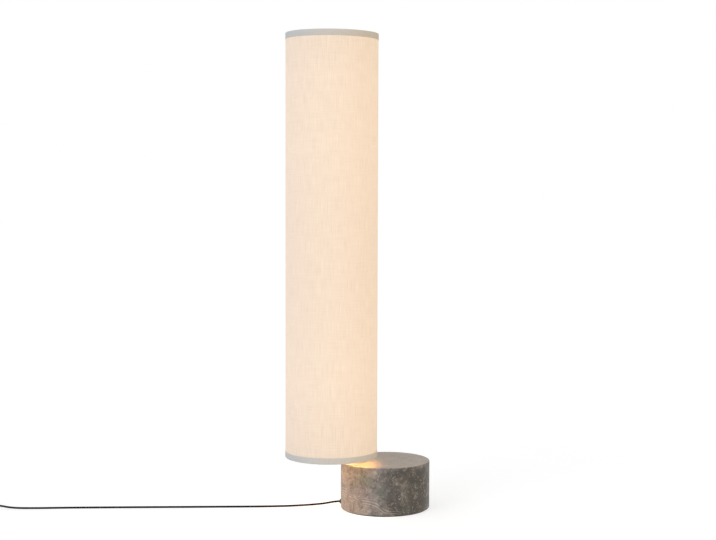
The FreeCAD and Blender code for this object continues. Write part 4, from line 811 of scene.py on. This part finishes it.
class LAMP_OT_switch_and_plug(bpy.types.Operator):
    """Moulded foot switch, plug and the grommet in the stone"""
    bl_idname = "lamp.switch_and_plug"
    bl_label = "Switch and plug"

    def execute(self, context):
        hard = context.scene.lamp_hard
        # spark-eroded ABS: a dull, even texture of 0.6 mm
        shell = grained("spark eroded ABS", tuple(hard.moulded), 0.55, 0.6 * MM, 0.05 * MM,
                        ior=1.54)
        for node in ("switch_case_lower", "switch_case_upper", "cord_stop"):
            dress(node, shell)
        # polished button, worn a little by shoes
        dress("switch_button", grained("polished ABS", linear("#1a1a1a"), 0.25, 2.5 * MM,
                                       0.01 * MM, ior=1.54, coat=0.2))
        dress("plug_body", grained("moulded PVC plug", tuple(hard.moulded), 0.5, 0.7 * MM,
                                   0.04 * MM, ior=1.53))
        dress("cord_grommet", grained("nylon grommet", linear("#121212"), 0.5, 0.7 * MM,
                                      0.02 * MM, ior=1.53))
        dress("switch_contact_block", grained("white nylon", linear("#dddbd4"), 0.5, 0.8 * MM,
                                              0.03 * MM, ior=1.53))
        # nickel plate: bright, with the faint orange peel of plating
        dress("plug_pins", grained("nickel plated pins", linear("#cfcdc8"), 0.22, 0.5 * MM,
                                   0.003 * MM, metal=1.0))
        return {"FINISHED"}


class LAMP_OT_button_spring(bpy.types.Operator):
    """Spring under the switch's button, which on the lamp shortens as the button goes down; here it
    gets a mesh of its own
    """
    bl_idname = "lamp.button_spring"
    bl_label = "Button spring"

    def execute(self, context):
        bm = bmesh.new()
        bm.from_mesh(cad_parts["button_spring"].data)
        bmesh.ops.remove_doubles(bm, verts=bm.verts, dist=1e-6)
        zinc = brushed("bright spring wire", tuple(context.scene.lamp_hard.zinc), 0.3, "z")
        spring = keep("pressed_spring", bm, zinc, "lamp", ["button_spring"])
        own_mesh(spring)
        return {"FINISHED"}


# ------------------------------------------------------------------ the stage

# the picture in pixels: its width, the lens's reach, and where the lens's axis meets it
PICTURE_WIDTH = 716
LENS_REACH = 1415.92
AXIS_ACROSS, AXIS_DOWN_FROM_MIDDLE = 426.72, 0.5
# the camera from the drum's axis: to the right, ahead and up in metres, and its two small tilts
CAMERA_SPOT = RIGHT * 0.10372 + AHEAD * -3.59911 + UP * 0.81273
CAMERA_PITCH, CAMERA_ROLL = -0.05631, 0.00564
SENSOR = 36.0
# light from the room: a cool window side on the left, and a warm dim room on the right
WINDOW_SIDE = (0.66, 0.72, 0.81, 1.0)
ROOM_SIDE = (0.62, 0.51, 0.35, 1.0)


def seen_rays(tree, kinds):
    """1 for a ray of any of these kinds, 0 for light that falls on the lamp."""
    path = add(tree, "ShaderNodeLightPath")
    seen = path.outputs[kinds[0]]
    for kind in kinds[1:]:
        seen = add(tree, "ShaderNodeMath", {"operation": "MAXIMUM"},
                   {0: seen, 1: path.outputs[kind]}).outputs[0]
    return seen


def studio_room(scene):
    """White to the eye and in reflections, and soft two-sided light for the lamp."""
    world = bpy.data.worlds.new("white studio")
    scene.world = world
    world.use_nodes = True
    tree = world.node_tree
    tree.nodes.clear()
    facing = add(tree, "ShaderNodeTexCoord")
    aside = add(tree, "ShaderNodeVectorMath", {"operation": "DOT_PRODUCT", 1: RIGHT},
                {0: facing.outputs["Generated"]})
    side = add(tree, "ShaderNodeMapRange", {"in:From Min": -1.0, "in:From Max": 1.0},
               {"Value": aside.outputs["Value"]})
    room = add(tree, "ShaderNodeMix", {"data_type": "RGBA", 6: WINDOW_SIDE, 7: ROOM_SIDE},
               {"Factor": side.outputs[0]})
    shown = add(tree, "ShaderNodeMix", {"data_type": "RGBA", 7: (1.0, 1.0, 1.0, 1.0)}, {
        "Factor": seen_rays(tree, ("Is Camera Ray", "Is Glossy Ray", "Is Transmission Ray")),
        6: room.outputs[2]})
    sky = add(tree, "ShaderNodeBackground", links={"Color": shown.outputs[2]})
    add(tree, "ShaderNodeOutputWorld", links={"Surface": sky.outputs[0]})


def studio_floor():
    """Pale floor that keeps the lamp's shadow, and is lifted to white for the eye alone."""
    # 60 m wide, and 0.2 mm below the felt, so that the two faces don't fight
    bm = bmesh.new()
    bmesh.ops.create_grid(bm, x_segments=2, y_segments=2, size=30.0)
    bmesh.ops.translate(bm, verts=bm.verts, vec=(0, 0, -0.2 * MM))
    mesh = bpy.data.meshes.new("floor")
    bm.to_mesh(mesh)
    bm.free()
    put("floor", mesh)
    made, tree, shader = blank_finish("white studio floor")
    lift = add(tree, "ShaderNodeMath", {"operation": "MULTIPLY", 1: 0.69},
               {0: seen_rays(tree, ("Is Camera Ray", "Is Glossy Ray"))})
    settle(tree, shader, {"Emission Strength": lift.outputs[0]},
           {"Base Color": (0.45, 0.45, 0.45, 1.0), "Roughness": 0.9, "Specular IOR Level": 0.0,
            "Emission Color": (0.942, 0.964, 1.0, 1.0)})
    mesh.materials.append(made)


def studio_suns():
    """Two wide suns, whose light is even over the floor, so that the floor stays white."""
    for name, aside, raised, strength, tint in (
            ("window_left", -40.0, 25.0, 0.88, (0.86, 0.93, 1.0)),
            ("room_right", 50.0, 15.0, 0.82, (1.0, 0.77, 0.50))):
        data = bpy.data.lights.new(name, "SUN")
        data.angle = math.radians(35.0)
        data.energy = strength
        data.color = tint
        sun = put(name, data)
        turn, lift = math.radians(aside), math.radians(raised)
        towards = ((RIGHT * math.sin(turn) - AHEAD * math.cos(turn)) * math.cos(lift)
                   + UP * math.sin(lift))
        sun.rotation_mode = "QUATERNION"
        sun.rotation_quaternion = towards.to_track_quat("Z", "Y")


def bulb_lights():
    """The bulbs' own light.

    The lower one throws the patch on the stone, and the upper one is set weaker, so that the
    shade's inside can be seen from above.
    """
    axis = shade_axis()
    for place, watts in (("lower", 3.4), ("upper", 0.6)):
        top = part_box(f"{place}_bulb_glass")[1].z
        data = bpy.data.lights.new(f"{place}_bulb_light", "POINT")
        data.shadow_soft_size = 28 * MM
        data.energy = watts
        data.color = linear("#ffc98a")
        # in the middle of the globe
        put(data.name, data).location = (axis.x, axis.y, top - 30 * MM)


def photograph_camera():
    """The photograph's camera, found from the outlines of the shade and the base."""
    data = bpy.data.cameras.new("photograph")
    data.sensor_width = SENSOR
    data.lens = LENS_REACH / PICTURE_WIDTH * SENSOR
    data.shift_x = (PICTURE_WIDTH / 2 - AXIS_ACROSS) / PICTURE_WIDTH
    data.shift_y = AXIS_DOWN_FROM_MIDDLE / PICTURE_WIDTH
    data.clip_start, data.clip_end = 0.05, 100.0
    looking = AHEAD * math.cos(CAMERA_PITCH) + UP * math.sin(CAMERA_PITCH)
    level = UP * math.cos(CAMERA_PITCH) - AHEAD * math.sin(CAMERA_PITCH)
    across = RIGHT * math.cos(CAMERA_ROLL) + level * math.sin(CAMERA_ROLL)
    upward = level * math.cos(CAMERA_ROLL) - RIGHT * math.sin(CAMERA_ROLL)
    turn = Matrix((across, upward, -looking)).transposed().to_4x4()
    camera = put("photograph", data)
    camera.matrix_world = Matrix.Translation(CAMERA_SPOT) @ turn
    bpy.context.scene.camera = camera


class LAMP_OT_stage(bpy.types.Operator):
    """Pale floor, soft light, the bulbs' own light and the camera of the photograph"""
    bl_idname = "lamp.stage"
    bl_label = "Stage"

    def execute(self, context):
        scene = context.scene
        scene.view_settings.view_transform = "Standard"
        studio_room(scene)
        studio_floor()
        studio_suns()
        bulb_lights()
        photograph_camera()
        return {"FINISHED"}


class LAMP_PT_lamp(bpy.types.Panel):
    """The lamp's pieces and the values that shape them"""
    bl_idname = "LAMP_PT_lamp"
    bl_label = "Column floor lamp"
    bl_space_type = "VIEW_3D"
    bl_region_type = "UI"
    bl_category = "Lamp"

    def draw(self, context):
        for operator in OPERATORS:
            self.layout.operator(operator.bl_idname)
        for group in GROUPS:
            box = self.layout.box()
            values = getattr(context.scene, GROUPS[group])
            for name in group.__annotations__:
                box.prop(values, name)


OPERATORS = (LAMP_OT_stage, LAMP_OT_shade_cloth, LAMP_OT_edge_tapes, LAMP_OT_shade_frame,
             LAMP_OT_stone_base, LAMP_OT_metalwork, LAMP_OT_lampholders, LAMP_OT_cords,
             LAMP_OT_switch_and_plug, LAMP_OT_button_spring)
GROUPS = {LampCloth: "lamp_cloth", LampStone: "lamp_stone", LampHard: "lamp_hard",
          LampCord: "lamp_cord"}


def register():
    for group, name in GROUPS.items():
        bpy.utils.register_class(group)
        setattr(bpy.types.Scene, name, PointerProperty(type=group))
    for operator in (*OPERATORS, LAMP_PT_lamp):
        bpy.utils.register_class(operator)


def unregister():
    for operator in reversed((*OPERATORS, LAMP_PT_lamp)):
        bpy.utils.unregister_class(operator)
    for group, name in GROUPS.items():
        delattr(bpy.types.Scene, name)
        bpy.utils.unregister_class(group)


def main():
    register()
    bpy.ops.lamp.stage()
    bpy.ops.lamp.shade_cloth()
    bpy.ops.lamp.edge_tapes()
    bpy.ops.lamp.shade_frame()
    bpy.ops.lamp.stone_base()
    bpy.ops.lamp.metalwork()
    bpy.ops.lamp.lampholders()
    bpy.ops.lamp.cords()
    bpy.ops.lamp.switch_and_plug()
    bpy.ops.lamp.button_spring()


if __name__ == "__main__":
    main()
